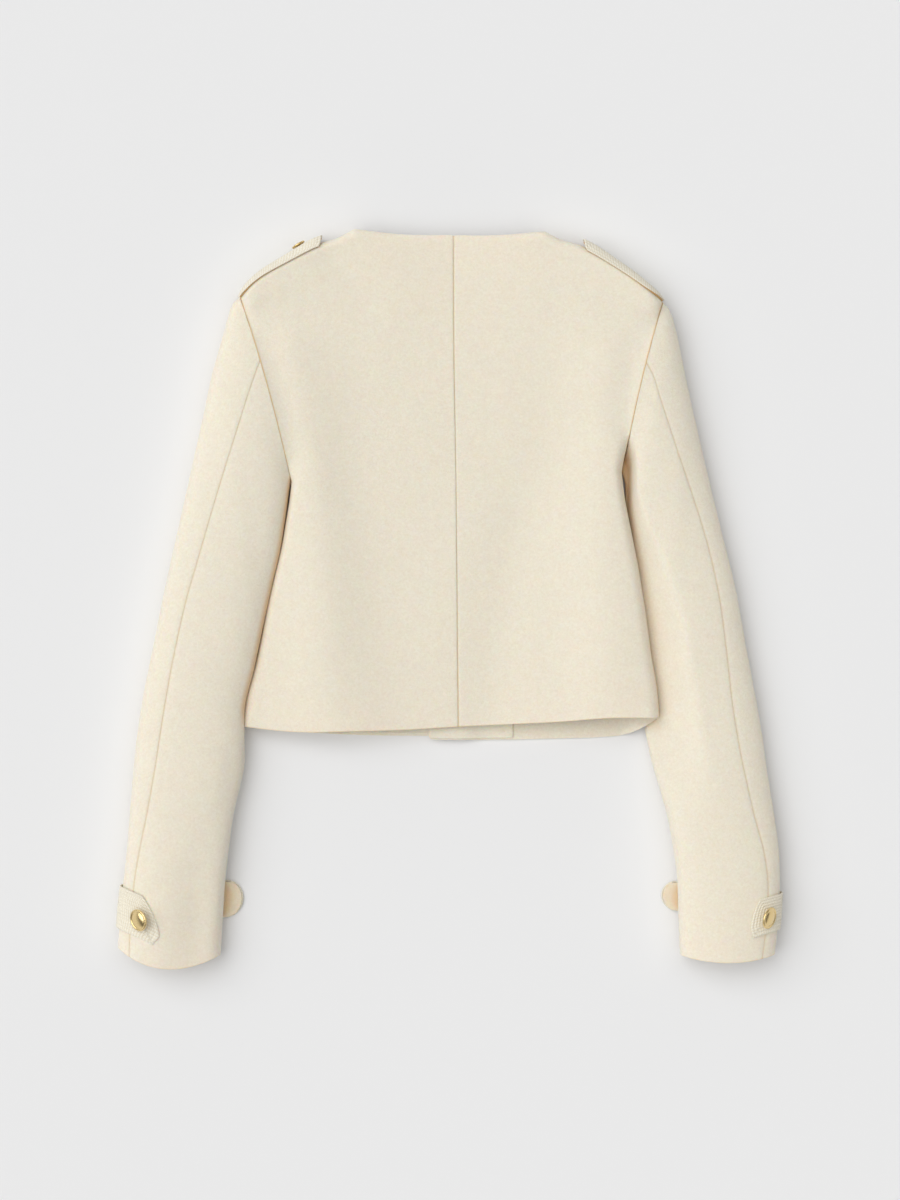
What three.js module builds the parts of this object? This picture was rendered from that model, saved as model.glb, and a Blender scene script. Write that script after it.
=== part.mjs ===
import * as THREE from 'three';

// A cropped, collarless jacket of thick felted wool with braided epaulettes and cuff straps,
// lying face down and open at neck, hem and cuffs.
// Millimetres. X runs right and Y towards the neck, as seen from above; Z is up, and Z = 0 is the
// surface that the fronts lie on. Left and right are the wearer's, so left is -X.
// Every cloth piece is a wall: a grid of points on its outer face, moved in by its thickness.

// Driving sizes
const WALL = 2.2;               // felted wool, pressed
const FACING_WALL = 1.6;
const SEAM = 0.45;              // left open between two pieces that are sewn together
const LAY = 0.3;                // left open between a piece and what it lies on
const STRAP_WALL = 1.8;
const BRAID_WALL = 1.2;
const BRAID_RIDGE = 0.6;        // how far a row of braid stands up
const SLEEVE_INNER_HIGH = 9;    // the right sleeve's inner edge, pressed flat by the body
const UNDERSIDE_SHARE = 0.4;    // share of a sleeve's height that is below its widest line
const ARMHOLE_SEAM = 1.25;      // left open round the armholes, where the walls meet at an angle
const SHOULDER_ROLL = 15;       // plan width of the roll over the shoulder
const BACK_SIDE_ROLL = 15;      // plan width of the roll from the back down to the side seams
const FRONT_SIDE_ROLL = 8;      // and of the roll from the floor up to them
const RISER_OUT = 34;           // the right front rises between these distances from its side,
const RISER_IN = 17;            // so that the sleeve's inner edge lies below it
const RISER_SHARE = 0.74;       // to this share of the side seam's height
const UNDERARM_V = 0.5;         // where the underarm is between hem, 0, and shoulder, 1
const UNDERARM_STEP = 0.018;    // the armhole climbs steeply just above it
const LEFT_SIDE_HIGH = 8;       // the left side seam lies just over the floor
const RIGHT_SIDE_HIGH = 15.5;    // the right side fold lies over the sleeve
const SIDE_SETTLE = 20;         // length below the underarm in which a side reaches that height
const FRONT_LAP = 4.5;          // the right front lies this high over the left one
const STRAP_WIDTH = 36;
const BRAID_PITCH = 6;          // one ridge stands for two narrow rows of braid
const BRAID_RINGS = 3;
const STRAP_LIFT = SEAM + STRAP_WALL + LAY + BRAID_WALL + BRAID_RIDGE;
const NECK_HIGH = 22;           // the neck point
const NECK_CENTRE_HIGH = 25;    // the middle of the back neck

const clamp = (x, low, high) => Math.min(Math.max(x, low), high);
const lerp = (a, b, t) => a + (b - a) * t;
const smooth = (a, b, x) => {
  const t = clamp((x - a) / (b - a), 0, 1);
  return t * t * (3 - 2 * t);
};

// One column of a table at t: 0 is its first row, 1 its last, with a smooth curve between them.
function along(table, column, t) {
  const last = table.length - 1;
  const place = clamp(t, 0, 1) * last;
  const row = Math.min(Math.floor(place), last - 1);
  const f = place - row;
  const at = (k) => table[clamp(k, 0, last)][column];
  const [a, b, c, d] = [at(row - 1), at(row), at(row + 1), at(row + 2)];
  return b + 0.5 * f * (c - a + f * (2 * a - 5 * b + 4 * c - d + f * (3 * (b - c) + d - a)));
}

const alongXY = (table, t) => new THREE.Vector2(along(table, 'x', t), along(table, 'y', t));

// Sleeves, from armhole to cuff: outer and inner ends of each section in plan, the height of its
// middle, how far it bows towards the cuff, how much its inner edge is pressed flat, how much it
// is lifted by the strap under it, and where the back seam crosses it, as a share of its width
// from the outer end.
const rows = (names, lines) => lines.map(
  (line) => Object.fromEntries(names.map((name, i) => [name, line[i]])));

const SLEEVE_COLUMNS = ['ox', 'oy', 'ix', 'iy', 'high', 'bow', 'press', 'lift', 'seam'];

const SLEEVE_LEFT = rows(SLEEVE_COLUMNS, [
  [-187.7, 271.8, -141.8, 106.2, 38, -3, 0, 0, 0.36],
  [-195.8, 263.0, -143.5, 97.2, 39, -2, 0, 0, 0.39],
  [-203.8, 234.9, -145.2, 84.6, 40, -1, 0, 0, 0.38],
  [-213.8, 198.9, -147.8, 66.6, 40, 0, 0, 0, 0.37],
  [-222.8, 156.6, -151.8, 41.4, 39, 0, 0, 0, 0.33],
  [-232.7, 112.5, -157.2, 18.9, 38, 0, 0, 0, 0.30],
  [-244.3, 60.3, -163.5, -8.1, 38, 0, 0, 0, 0.27],
  [-256.1, 7.2, -169.8, -36.9, 38, 0, 0, 0, 0.24],
  [-266.4, -44.1, -176.1, -65.7, 38, 0, 0, 0, 0.23],
  [-274.9, -86.0, -183.0, -94.0, 38, 0, 0, 0, 0.24],
  [-280.4, -122.0, -184.6, -121.0, 38, 0, 0, 0, 0.23],
  [-283.7, -152.0, -184.2, -150.0, 38, 0, 0, 0.23, 0.21],
  [-287.0, -193.0, -193.6, -193.0, 37, 0, 0, 0.57, 0.18],
  [-289.2, -223.0, -197.8, -223.0, 36, 0, 0, 0.85, 0.14],
  [-292.3, -253.0, -201.4, -254.0, 36, 2, 0, 1, 0.12],
  [-295.5, -283.0, -203.6, -287.0, 35, 6, 0, 1, 0.12],
  [-297.4, -313.0, -205.6, -321.0, 34, 14, 0, 1, 0.13],
]);

const SLEEVE_RIGHT = rows(SLEEVE_COLUMNS, [
  [193.1, 267.3, 156.8, 114.3, 38, -3, 1, 0, 0.37],
  [200.2, 258.3, 159.8, 103.5, 39, -2, 1, 0, 0.38],
  [206.6, 234.9, 159.4, 86.4, 40, -1, 1, 0, 0.36],
  [213.8, 198.9, 158.0, 66.6, 40, 0, 1, 0, 0.31],
  [223.2, 156.6, 159.8, 41.4, 39, 0, 1, 0, 0.26],
  [233.6, 112.5, 162.5, 17.1, 38, 0, 1, 0, 0.21],
  [246.2, 60.3, 165.2, -11.7, 38, 0, 1, 0, 0.17],
  [259.2, 7.2, 169.7, -41.4, 38, 0, 1, 0, 0.18],
  [268.7, -45.9, 173.2, -70.2, 38, 0, 1, 0, 0.20],
  [276.8, -88.0, 176.8, -96.0, 38, 0, 1, 0, 0.23],
  [282.6, -122.0, 178.7, -122.0, 38, 0, 0.9, 0, 0.23],
  [286.7, -152.0, 185.0, -152.0, 38, 0, 0.4, 0.23, 0.22],
  [293.0, -193.0, 196.6, -193.0, 37, 0, 0, 0.57, 0.20],
  [297.0, -223.0, 202.4, -223.0, 36, 0, 0, 0.85, 0.16],
  [298.2, -253.0, 206.2, -253.0, 36, 2, 0, 1, 0.13],
  [296.8, -285.0, 207.4, -285.5, 35, 3, 0, 1, 0.13],
  [293.9, -319.0, 208.8, -320.0, 34, 6, 0, 1, 0.15],
]);

// A point on a sleeve's outer face. The angle is 0 at the outer fold and PI at the inner one,
// over the top; from PI to 2 PI it goes back under the sleeve, which lies flat.
function sleevePoint(table, t, angle) {
  const at = (column) => along(table, column, t);
  const share = 0.5 - 0.5 * Math.cos(angle);
  const press = smooth(0.5, 0.9, share) * at('press');
  const high = lerp(at('high'), SLEEVE_INNER_HIGH, press);
  const middle = lerp(at('high') * UNDERSIDE_SHARE, SLEEVE_INNER_HIGH / 2, press);
  const swell = Math.abs(Math.sin(angle));
  const above = Math.sin(angle) >= 0;
  const z = above
    ? middle + (high - middle) * swell ** 0.8
    : Math.max(0, middle * (1 - 1.15 * swell ** 0.35));
  const [ox, oy, ix, iy] = ['ox', 'oy', 'ix', 'iy'].map(at);
  const width = Math.hypot(ix - ox, iy - oy);
  const bow = at('bow') * 4 * share * (1 - share) * Math.sign(ix - ox) / width;
  return new THREE.Vector3(
    lerp(ox, ix, share) + (iy - oy) * bow,
    lerp(oy, iy, share) - (ix - ox) * bow,
    z + Math.max(0, at('lift')) * STRAP_LIFT,
  );
}

// Body outlines in plan. Sides run from hem to underarm, hems and necklines from the centre
// outwards, shoulders from the neck point to the shoulder tip, which is the armhole's own.
const xy = (lines) => rows(['x', 'y'], lines);

const SIDE_LEFT = xy([
  [-184.0, -114.8], [-180.2, -87.2], [-172.4, -59.6], [-166.4, -31.9], [-161.0, -4.3],
  [-154.4, 23.3], [-147.8, 51.0], [-143.6, 78.6], [-141.4, 106.2],
]);
const SIDE_RIGHT = xy([
  [189.5, -107.0], [187.2, -79.4], [182.6, -51.8], [179.0, -24.2], [174.9, 3.4],
  [170.3, 31.0], [164.8, 58.7], [159.5, 86.3], [156.4, 114.3],
]);
const CENTRE_BACK = xy([[9.0, -115.0], [7.8, -4.6], [6.8, 105.8], [5.0, 216.3], [4.5, 326.7]]);
const HEM_BACK_LEFT = xy([[9, -115], [-39, -117.8], [-87, -118.9], [-136, -119.6], [-184, -114.8]]);
const HEM_BACK_RIGHT = xy([[9, -115], [54, -113], [99, -110.5], [145, -106.8], [189.5, -107]]);
const NECK_BACK_LEFT = xy([[4.5, 326.7], [-40, 327.6], [-84.2, 333]]);
const NECK_BACK_RIGHT = xy([[4.5, 326.7], [45, 327.0], [86, 330.8]]);
const SHOULDER_LEFT = xy([[-84.2, 333], [-101, 324.5], [-122, 317.6], [-150, 303], [-171.5, 289],
  [-187.2, 271.8]]);
const SHOULDER_RIGHT = xy([[86, 330.8], [101, 323.5], [118, 318.5], [139, 308], [161, 294],
  [178.5, 280], [192.6, 267.3]]);

const LEFT_EDGE = xy([[-4, -123.8], [-4, 60], [-4, 245]]);
const RIGHT_EDGE = xy([[-18.5, -127.2], [-18, 60], [-16, 245]]);
const HEM_FRONT_LEFT = xy([[-4, -123.8], [-49, -123.8], [-94, -122.6], [-139, -119.8],
  [-184, -114.8]]);
const HEM_FRONT_RIGHT = xy([[-18.5, -127.2], [7.5, -127.4], [33.5, -127.4], [59.5, -127.2],
  [85.5, -126.6], [111.5, -126], [137.5, -125], [163.5, -121.5], [189.5, -107]]);
const NECK_FRONT_LEFT = xy([[-4, 245], [-38, 252], [-68, 284], [-84.2, 333]]);
const NECK_FRONT_RIGHT = xy([[-16, 245], [26, 250], [66, 282], [86, 330.8]]);

// Height of the back over the floor, from hem to shoulder: at the centre seam, half way, and
// near the side or armhole.
const BACK_HEIGHT = rows(['centre', 'half', 'left', 'right'], [
  [17, 18, 19, 26], [21, 22, 21, 27], [24, 25, 24, 28], [28, 30, 35, 35], [27, 33, 37, 37],
]);

// Long soft folds of the back: centre line from its lower to its upper end, width, and height.
const BACK_FOLDS = rows(['x0', 'y0', 'x1', 'y1', 'wide', 'high'], [
  [-92, -115, -118, 98, 24, 4.5],
  [-118, 98, -138, 215, 22, 3.5],
  [126, -110, 140, 89, 26, 4.5],
  [140, 89, 146, 180, 24, 3],
  [15, -100, 40, 40, 20, -2.5],
  [-104, 305, -70, 270, 14, -2],
]);

function foldHeight(x, y) {
  let sum = 0;
  for (const fold of BACK_FOLDS) {
    const dx = fold.x1 - fold.x0;
    const dy = fold.y1 - fold.y0;
    const t = clamp(((x - fold.x0) * dx + (y - fold.y0) * dy) / (dx * dx + dy * dy), 0, 1);
    const away = Math.hypot(x - fold.x0 - t * dx, y - fold.y0 - t * dy);
    sum += fold.high * Math.exp(-((away / fold.wide) ** 2));
  }
  return sum;
}

// The four half panels share one form: four edges in plan with their heights, filled between,
// and a crown that rolls down to them.
const SIDES = {
  left: { sleeve: SLEEVE_LEFT, side: SIDE_LEFT, sideHigh: LEFT_SIDE_HIGH, shoulder: SHOULDER_LEFT },
  right: {
    sleeve: SLEEVE_RIGHT, side: SIDE_RIGHT, sideHigh: RIGHT_SIDE_HIGH, shoulder: SHOULDER_RIGHT,
  },
};

// The armhole's edge on the body, from underarm, 0, to shoulder tip, 1.
function armholePoint(name, isBack, t) {
  const { sleeve } = SIDES[name];
  const share = 0.5 * t + 0.25 * (1 - Math.cos(Math.PI * t));
  const overTop = Math.acos(2 * share - 1);
  const angle = isBack ? overTop : 2 * Math.PI - overTop;
  const point = sleevePoint(sleeve, 0, angle);
  point.x += name === 'left' ? ARMHOLE_SEAM : -ARMHOLE_SEAM;
  return point;
}

function sideEdge(name, isBack, v) {
  const { side, sideHigh } = SIDES[name];
  if (v >= UNDERARM_V) return armholePoint(name, isBack, (v - UNDERARM_V) / (1 - UNDERARM_V));
  const t = v / UNDERARM_V;
  const plan = alongXY(side, t);
  const underarm = armholePoint(name, isBack, 0);
  const below = side[side.length - 1].y - plan.y;
  const settle = smooth(0, SIDE_SETTLE, below);
  plan.x += (underarm.x - side[side.length - 1].x) * (1 - settle);
  return new THREE.Vector3(plan.x, plan.y, lerp(underarm.z, sideHigh, settle));
}

function topEdge({ name, isBack, neck, neckU, crown }, u) {
  const { shoulder } = SIDES[name];
  if (u < neckU) {
    const t = u / neckU;
    const plan = alongXY(neck, t);
    const z = isBack
      ? lerp(NECK_CENTRE_HIGH, NECK_HIGH, t ** 3)
      : lerp(crown(u, 1, plan.x, plan.y), NECK_HIGH, smooth(0.3, 1, t));
    return new THREE.Vector3(plan.x, plan.y, z);
  }
  const t = (u - neckU) / (1 - neckU);
  const plan = alongXY(shoulder, t);
  const tip = armholePoint(name, isBack, 1);
  const last = shoulder[shoulder.length - 1];
  return new THREE.Vector3(
    plan.x + (tip.x - last.x) * t,
    plan.y + (tip.y - last.y) * t,
    lerp(NECK_HIGH, tip.z, t),
  );
}

// How much of the crown is left at a distance from an edge that rolls over, in shares of a side.
const roll = (away, width) => (away >= width ? 1 : Math.sqrt(1 - (1 - away / width) ** 2));

// How far the rounded corners lift the hem.
function cornerLift({ hem, roundCentre = 0, roundSide = 0 }, u, v) {
  const width = panelWidth(hem);
  const lift = roundCentre * (1 - roll(u, 2 * roundCentre / width))
    + roundSide * (1 - roll(1 - u, roundSide / width));
  return lift * (1 - smooth(0, 0.15, v));
}

function panelPoint(panel, u, v) {
  const { name, isBack, centre, crown } = panel;
  const edges = {
    hem: alongXY(panel.hem, u),
    centre: alongXY(centre, v),
    side: sideEdge(name, isBack, v),
    top: topEdge(panel, u),
  };
  const corner = {
    hemCentre: alongXY(panel.hem, 0),
    hemSide: alongXY(panel.hem, 1),
    topCentre: topEdge(panel, 0),
    topSide: topEdge(panel, 1),
  };
  const fill = (axis) => (1 - v) * edges.hem[axis] + v * edges.top[axis]
    + (1 - u) * edges.centre[axis] + u * edges.side[axis]
    - (1 - u) * (1 - v) * corner.hemCentre[axis] - u * (1 - v) * corner.hemSide[axis]
    - (1 - u) * v * corner.topCentre[axis] - u * v * corner.topSide[axis];
  const x = fill('x');
  const y = fill('y') + cornerLift(panel, u, v);
  const toSide = (1 - u) * panelWidth(panel.hem) + 1e-6;
  const toTop = (1 - v) * BODY_LENGTH + 1e-6;
  const low = (edges.side.z * toTop + edges.top.z * toSide) / (toTop + toSide);
  const high = crown(u, v, x, y);
  const z = lerp(low, high, edgeShare(panel, u, v, low - high));
  const near = Math.max(smooth(0.9, 1, u), smooth(0.9, 1, v)) * clamp(z / 4, 0, 1);
  return new THREE.Vector3(x, y, z + (isBack ? 1 : -1) * SEAM * near);
}

const BODY_LENGTH = 440;
const panelWidth = (hem) => Math.abs(hem[hem.length - 1].x - hem[0].x);

// Where an edge is lower than the crown the cloth rolls over to it, and where it is as high, as
// along the upper armhole, it runs out to it gently.
function edgeShare(panel, u, v, rise) {
  const width = panelWidth(panel.hem);
  const gentle = panel.isBack ? smooth(-12, -2, rise) : 0;
  const sideRoll = panel.isBack ? BACK_SIDE_ROLL : FRONT_SIDE_ROLL;
  const rolled = roll(1 - u, sideRoll / width);
  const riser = 1 - RISER_SHARE * smooth(1 - RISER_OUT / width, 1 - RISER_IN / width, u);
  const below = panel.underFold ? 1 - smooth(UNDERARM_V, UNDERARM_V + 0.04, v) : 0;
  const side = lerp(rolled, rolled * riser, below);
  return lerp(side, 1 - smooth(0.6, 1, u), gentle) * roll(1 - v, SHOULDER_ROLL / BODY_LENGTH);
}

const backCrown = (name) => (u, v, x, y) => {
  const [centre, half, side] = ['centre', 'half', name].map((c) => along(BACK_HEIGHT, c, v));
  const height = u < 0.5 ? lerp(centre, half, smooth(0, 0.5, u)) : lerp(half, side, smooth(0.5, 1, u));
  return height + foldHeight(x, y);
};

const leftFrontCrown = () => 0;
const rightFrontCrown = (u, v, x) => FRONT_LAP * (1 - smooth(8, 34, x));

const BACK_NECK_U = 0.46;
const FRONT_NECK_U = 0.46;

const PANELS = {
  back_left: { name: 'left', isBack: true, centre: CENTRE_BACK, hem: HEM_BACK_LEFT,
    neck: NECK_BACK_LEFT, neckU: BACK_NECK_U, crown: backCrown('left') },
  back_right: { name: 'right', isBack: true, centre: CENTRE_BACK, hem: HEM_BACK_RIGHT,
    neck: NECK_BACK_RIGHT, neckU: BACK_NECK_U, crown: backCrown('right') },
  front_left: { name: 'left', isBack: false, centre: LEFT_EDGE, hem: HEM_FRONT_LEFT,
    neck: NECK_FRONT_LEFT, neckU: FRONT_NECK_U, crown: leftFrontCrown },
  front_right: { name: 'right', isBack: false, centre: RIGHT_EDGE, hem: HEM_FRONT_RIGHT,
    neck: NECK_FRONT_RIGHT, neckU: FRONT_NECK_U, crown: rightFrontCrown, underFold: true,
    roundCentre: 4.5, roundSide: 1 },
};

// Places along one side of a grid: equal steps, and closer ones where an edge rolls over.
const steps = (from, to, count) => Array.from({ length: count }, (_, i) => lerp(from, to, i / count));
const rollSteps = (width, count) => Array.from(
  { length: count }, (_, i) => 1 - width * (1 - Math.sin((i / count) * Math.PI / 2)));

function panelGrid(panel, columns, lines) {
  const width = panelWidth(panel.hem);
  const sideRoll = (panel.isBack ? BACK_SIDE_ROLL : FRONT_SIDE_ROLL) / width;
  const shoulderRoll = SHOULDER_ROLL / BODY_LENGTH;
  const riser = panel.underFold ? steps(1 - RISER_OUT / width, 1 - sideRoll, 5) : [];
  const flatEnd = panel.underFold ? riser[0] : 1 - sideRoll;
  return {
    us: [...steps(0, panel.neckU, columns[0]), ...steps(panel.neckU, flatEnd, columns[1]),
      ...riser, ...rollSteps(sideRoll, columns[2]), 1],
    vs: [...steps(0, UNDERARM_V, lines[0]), UNDERARM_V,
      ...steps(UNDERARM_V + UNDERARM_STEP, 1 - shoulderRoll, lines[1]),
      ...rollSteps(shoulderRoll, lines[2]), 1],
  };
}

// The outward normal of a surface given by a function of u and v. A side of -1 turns it round.
function normalAt(surface, u, v, side) {
  const d = 1e-3;
  const du = surface(clamp(u + d, 0, 1), v).sub(surface(clamp(u - d, 0, 1), v));
  const dv = surface(u, clamp(v + d, 0, 1)).sub(surface(u, clamp(v - d, 0, 1)));
  return du.cross(dv).normalize().multiplyScalar(side);
}

// A closed wall of cloth on a grid of us by vs: its outer face, the inner face, and four rims.
function clothWall(surface, us, vs, side, wall, relief = () => 0) {
  const outer = [];
  const inner = [];
  for (const v of vs) {
    for (const u of us) {
      const point = surface(u, v);
      const normal = normalAt(surface, u, v, side);
      outer.push(point.clone().addScaledVector(normal, relief(u, v)));
      inner.push(point.clone().addScaledVector(normal, -wall));
    }
  }
  const wide = us.length;
  const count = outer.length;
  const index = [];
  const quad = (a, b, c, d) => index.push(a, b, c, a, c, d);
  for (let j = 0; j + 1 < vs.length; j += 1) {
    for (let i = 0; i + 1 < wide; i += 1) {
      const a = j * wide + i;
      quad(a, a + 1, a + 1 + wide, a + wide);
      quad(count + a, count + a + wide, count + a + wide + 1, count + a + 1);
    }
  }
  const rim = (a, b) => quad(a, count + a, count + b, b);
  const top = (vs.length - 1) * wide;
  for (let i = 0; i + 1 < wide; i += 1) {
    rim(i, i + 1);
    rim(top + i + 1, top + i);
  }
  for (let j = 0; j + 1 < vs.length; j += 1) {
    rim((j + 1) * wide, j * wide);
    rim(j * wide + wide - 1, (j + 1) * wide + wide - 1);
  }
  if (side < 0) index.reverse();
  const geometry = new THREE.BufferGeometry();
  const positions = [...outer, ...inner].flatMap((p) => [p.x, p.y, p.z]);
  geometry.setAttribute('position', new THREE.Float32BufferAttribute(positions, 3));
  geometry.setIndex(index);
  geometry.computeVertexNormals();
  return geometry;
}

const WOOL = new THREE.MeshStandardMaterial({ color: 0xefe6cf, roughness: 0.95, metalness: 0 });
const BRAID = new THREE.MeshStandardMaterial({ color: 0xf1ede0, roughness: 0.85, metalness: 0 });
const GILT = new THREE.MeshStandardMaterial({ color: 0xd2a55a, roughness: 0.3, metalness: 1 });

const jacket = new THREE.Group();

function add(name, geometry, material) {
  const mesh = new THREE.Mesh(geometry, material);
  mesh.name = name;
  jacket.add(mesh);
  return mesh;
}

// Body panels. u runs out from the centre and v up from the hem, so the left side is mirrored.
const PANEL_LINES = [9, 6, 3];
const frontGrid = (panel) => panelGrid(panel, [5, 4, 3], PANEL_LINES);
for (const [name, panel] of Object.entries(PANELS)) {
  const mirrored = panel.name === 'left' ? -1 : 1;
  const side = panel.isBack ? mirrored : -mirrored;
  const centreGap = panel.isBack ? mirrored * SEAM / 2 : 0;
  const surface = (u, v) => {
    const point = panelPoint(panel, u, v);
    point.x += centreGap * (1 - u);
    return point;
  };
  const grid = panel.isBack ? panelGrid(panel, [6, 5, 3], PANEL_LINES) : frontGrid(panel);
  add(name, clothWall(surface, grid.us, grid.vs, side, WALL), WOOL);
}

// Facings lie inside the front edges, from hem to neckline.
const FACINGS = rows(['panel', 'to'], [['front_left', 0.46], ['front_right', 0.368]]);
const FACING_INSET = { edge: 0.012, hem: 0.006, neck: 0.95 };
for (const { panel: panelName, to } of FACINGS) {
  const panel = PANELS[panelName];
  const side = panel.name === 'left' ? 1 : -1;
  const onPanel = (u, v) => panelPoint(panel, u, v);
  const surface = (u, v) => {
    const inward = normalAt(onPanel, u, v, side).multiplyScalar(-(WALL + LAY));
    return onPanel(u, v).add(inward);
  };
  const grid = frontGrid(panel);
  const us = [FACING_INSET.edge, ...grid.us.filter((u) => u > 0 && u <= to + 1e-6)];
  const vs = [FACING_INSET.hem, ...grid.vs.filter((v) => v > 0 && v < FACING_INSET.neck)];
  add(panelName.replace('front', 'facing'), clothWall(surface, us, vs, side, FACING_WALL), WOOL);
}

// Sleeves in two pieces: the under sleeve from the back seam over the inner fold to the front
// seam, the upper sleeve on from there, under the arm's front and round the outer fold.
const FRONT_SEAM_ANGLE = Math.PI + 0.5;
const SLEEVE_LINES = 21;
for (const [name, { sleeve }] of Object.entries(SIDES)) {
  const mirrored = name === 'left' ? 1 : -1;
  const backSeam = (t) => Math.acos(1 - 2 * along(sleeve, 'seam', t));
  const gapAngle = (t, angle) => {
    const d = 1e-3;
    const speed = sleevePoint(sleeve, t, angle + d).distanceTo(sleevePoint(sleeve, t, angle - d)) / (2 * d);
    return SEAM / 2 / speed;
  };
  const between = (from, to, u, t) => {
    const [a, b] = [from(t), to(t)];
    return lerp(a + gapAngle(t, a), b - gapAngle(t, b), u);
  };
  const lower = (u, t) => sleevePoint(sleeve, t, between(backSeam, () => FRONT_SEAM_ANGLE, u, t));
  const upper = (u, t) => sleevePoint(sleeve, t,
    between(() => FRONT_SEAM_ANGLE, (place) => 2 * Math.PI + backSeam(place), u, t));
  const lines = [...steps(0, 1, SLEEVE_LINES), 1];
  add(`sleeve_under_${name}`, clothWall(lower, [...steps(0, 1, 13), 1], lines, -mirrored, WALL), WOOL);
  add(`sleeve_upper_${name}`, clothWall(upper, [...steps(0, 1, 16), 1], lines, -mirrored, WALL), WOOL);
}

// Rows of braid follow a strap's outline, ring within ring: how far the face stands up at a
// distance from the outline.
const braidRelief = (away) => BRAID_RIDGE * (0.5 - 0.5 * Math.cos((2 * Math.PI * away) / BRAID_PITCH));
const ACROSS_CLOTH = [0, 1 / 12, 1 / 4, 1 / 2, 3 / 4, 11 / 12, 1];
const CLOTH_INSET = 1.4;        // the braid hides the cut edges of the cloth under it
const ACROSS_BRAID = [...steps(0, 1, (2 * STRAP_WIDTH) / BRAID_PITCH), 1];

// A strap and the braid on it. The path gives a point at u along and v across, a height off the
// cloth under it, and the braid is the same face moved out. The grid's us start with the rings of
// braid round the strap's end, half a row apart, which the cloth needs only half of.
function addStrap(name, path, us, length, side, roundEnd) {
  const strapOut = SEAM + STRAP_WALL;
  const braidOut = strapOut + LAY + BRAID_WALL;
  const [rings, rest] = [us.slice(0, 2 * BRAID_RINGS), us.slice(2 * BRAID_RINGS)];
  const [insetU, insetV] = [CLOTH_INSET / length, CLOTH_INSET / STRAP_WIDTH];
  const inset = (u, v) => path(
    lerp(insetU, roundEnd ? 1 - insetU : 1, u), lerp(insetV, 1 - insetV, v), strapOut);
  add(name, clothWall(inset, [...rings.filter((u, i) => i % 2 === 0), ...rest], ACROSS_CLOTH, side,
    STRAP_WALL), WOOL);
  const away = (u, v) => Math.min(u * length, v * STRAP_WIDTH, (1 - v) * STRAP_WIDTH,
    roundEnd ? (1 - u) * length : Infinity);
  add(name.replace('_', '_braid_').replace('_strap', ''), clothWall((u, v) => path(u, v, braidOut), us,
    ACROSS_BRAID, side, BRAID_WALL, (u, v) => braidRelief(away(u, v))), BRAID);
  return braidOut;
}

const ringSteps = (length) => steps(0, (BRAID_RINGS * BRAID_PITCH) / length, 2 * BRAID_RINGS);

// Epaulettes bend over the shoulder: on the back panel down to the shoulder seam, then straight
// down to the floor. u runs from the neck end to the sleeve, v from the back to the front.
const EPAULETTES = [{ name: 'left', from: 0.31 }, { name: 'right', from: 0.34 }];
// Where the strap begins on the shoulder's roll, from its neck end to the sleeve: the sine of the
// angle there, which is 1 at the shoulder seam.
const EPAULETTE_TOP = rows(['left', 'right'], [
  [0.45, 0.42], [0.35, 0.34], [0.42, 0.36], [0.47, 0.48], [0.62, 0.90],
]);
const EPAULETTE_TO = 0.95;
const EPAULETTE_LENGTH = 88;
const EPAULETTE_SPLIT = 0.42;    // share of its width that lies on the back
const EPAULETTE_LOW = 1.2;
const EPAULETTE_ROUND = 0.07;

function epaulettePath({ name, from }, side) {
  const panel = PANELS[`back_${name}`];
  const onPanel = (u, v) => panelPoint(panel, u, v);
  const rollShare = SHOULDER_ROLL / BODY_LENGTH;
  return (u, v, out) => {
    const rounding = EPAULETTE_ROUND * (1 - Math.sqrt(1 - 0.9 * (2 * v - 1) ** 2));
    const onShoulder = lerp(from + rounding, EPAULETTE_TO, u);
    const onPanelU = lerp(panel.neckU, 1, onShoulder);
    const begins = Math.asin(along(EPAULETTE_TOP, name, u));
    const angle = lerp(begins, Math.PI / 2, Math.min(v / EPAULETTE_SPLIT, 1));
    const onPanelV = Math.min(1 - rollShare * (1 - Math.sin(angle)), 1 - 1e-5);
    const normal = normalAt(onPanel, onPanelU, onPanelV, side);
    const point = onPanel(onPanelU, onPanelV).addScaledVector(normal, out);
    const down = Math.max(0, (v - EPAULETTE_SPLIT) / (1 - EPAULETTE_SPLIT));
    point.z = lerp(point.z, EPAULETTE_LOW, down);
    return point;
  };
}

// Cuff straps: from the tab on the back, round the sleeve's outer fold, straight on under the
// sleeve, and out at its inner fold. Shares are of the sleeve's width from its outer end. The
// slants are how far the tab falls towards the cuff, and how far the rest rises, across the sleeve.
const CUFF_STRAPS = rows(
  ['name', 'middle', 'width', 'slant', 'rise', 'tabEnd', 'upperCut', 'lowerCut', 'knobOut',
    'buttonShare', 'lean'], [
    ['left', 0.9225, 36, 30, 7, 0.425, 0.20, 0.06, 0.185, 0.275, 0.6],
    ['right', 0.9266, 29, 19, 10, 0.305, 0.085, 0.03, 0.155, 0.185, 0.9],
  ]);
const SLEEVE_TABLE_LENGTH = 480;  // length of the whole table, with rows as far apart as at the cuff
const KNOB_WIDTH = 0.85;          // the strap's far end is this much narrower
const CUFF_STRAP_LENGTH = 165;
const TAB_U = 0.3;                // the tab ends here, at the outer fold,
const FOLD_U = 0.44;              // and here the strap lies flat under the sleeve,
const FOLD_ANGLE = 0.75;          // this far round it

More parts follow.
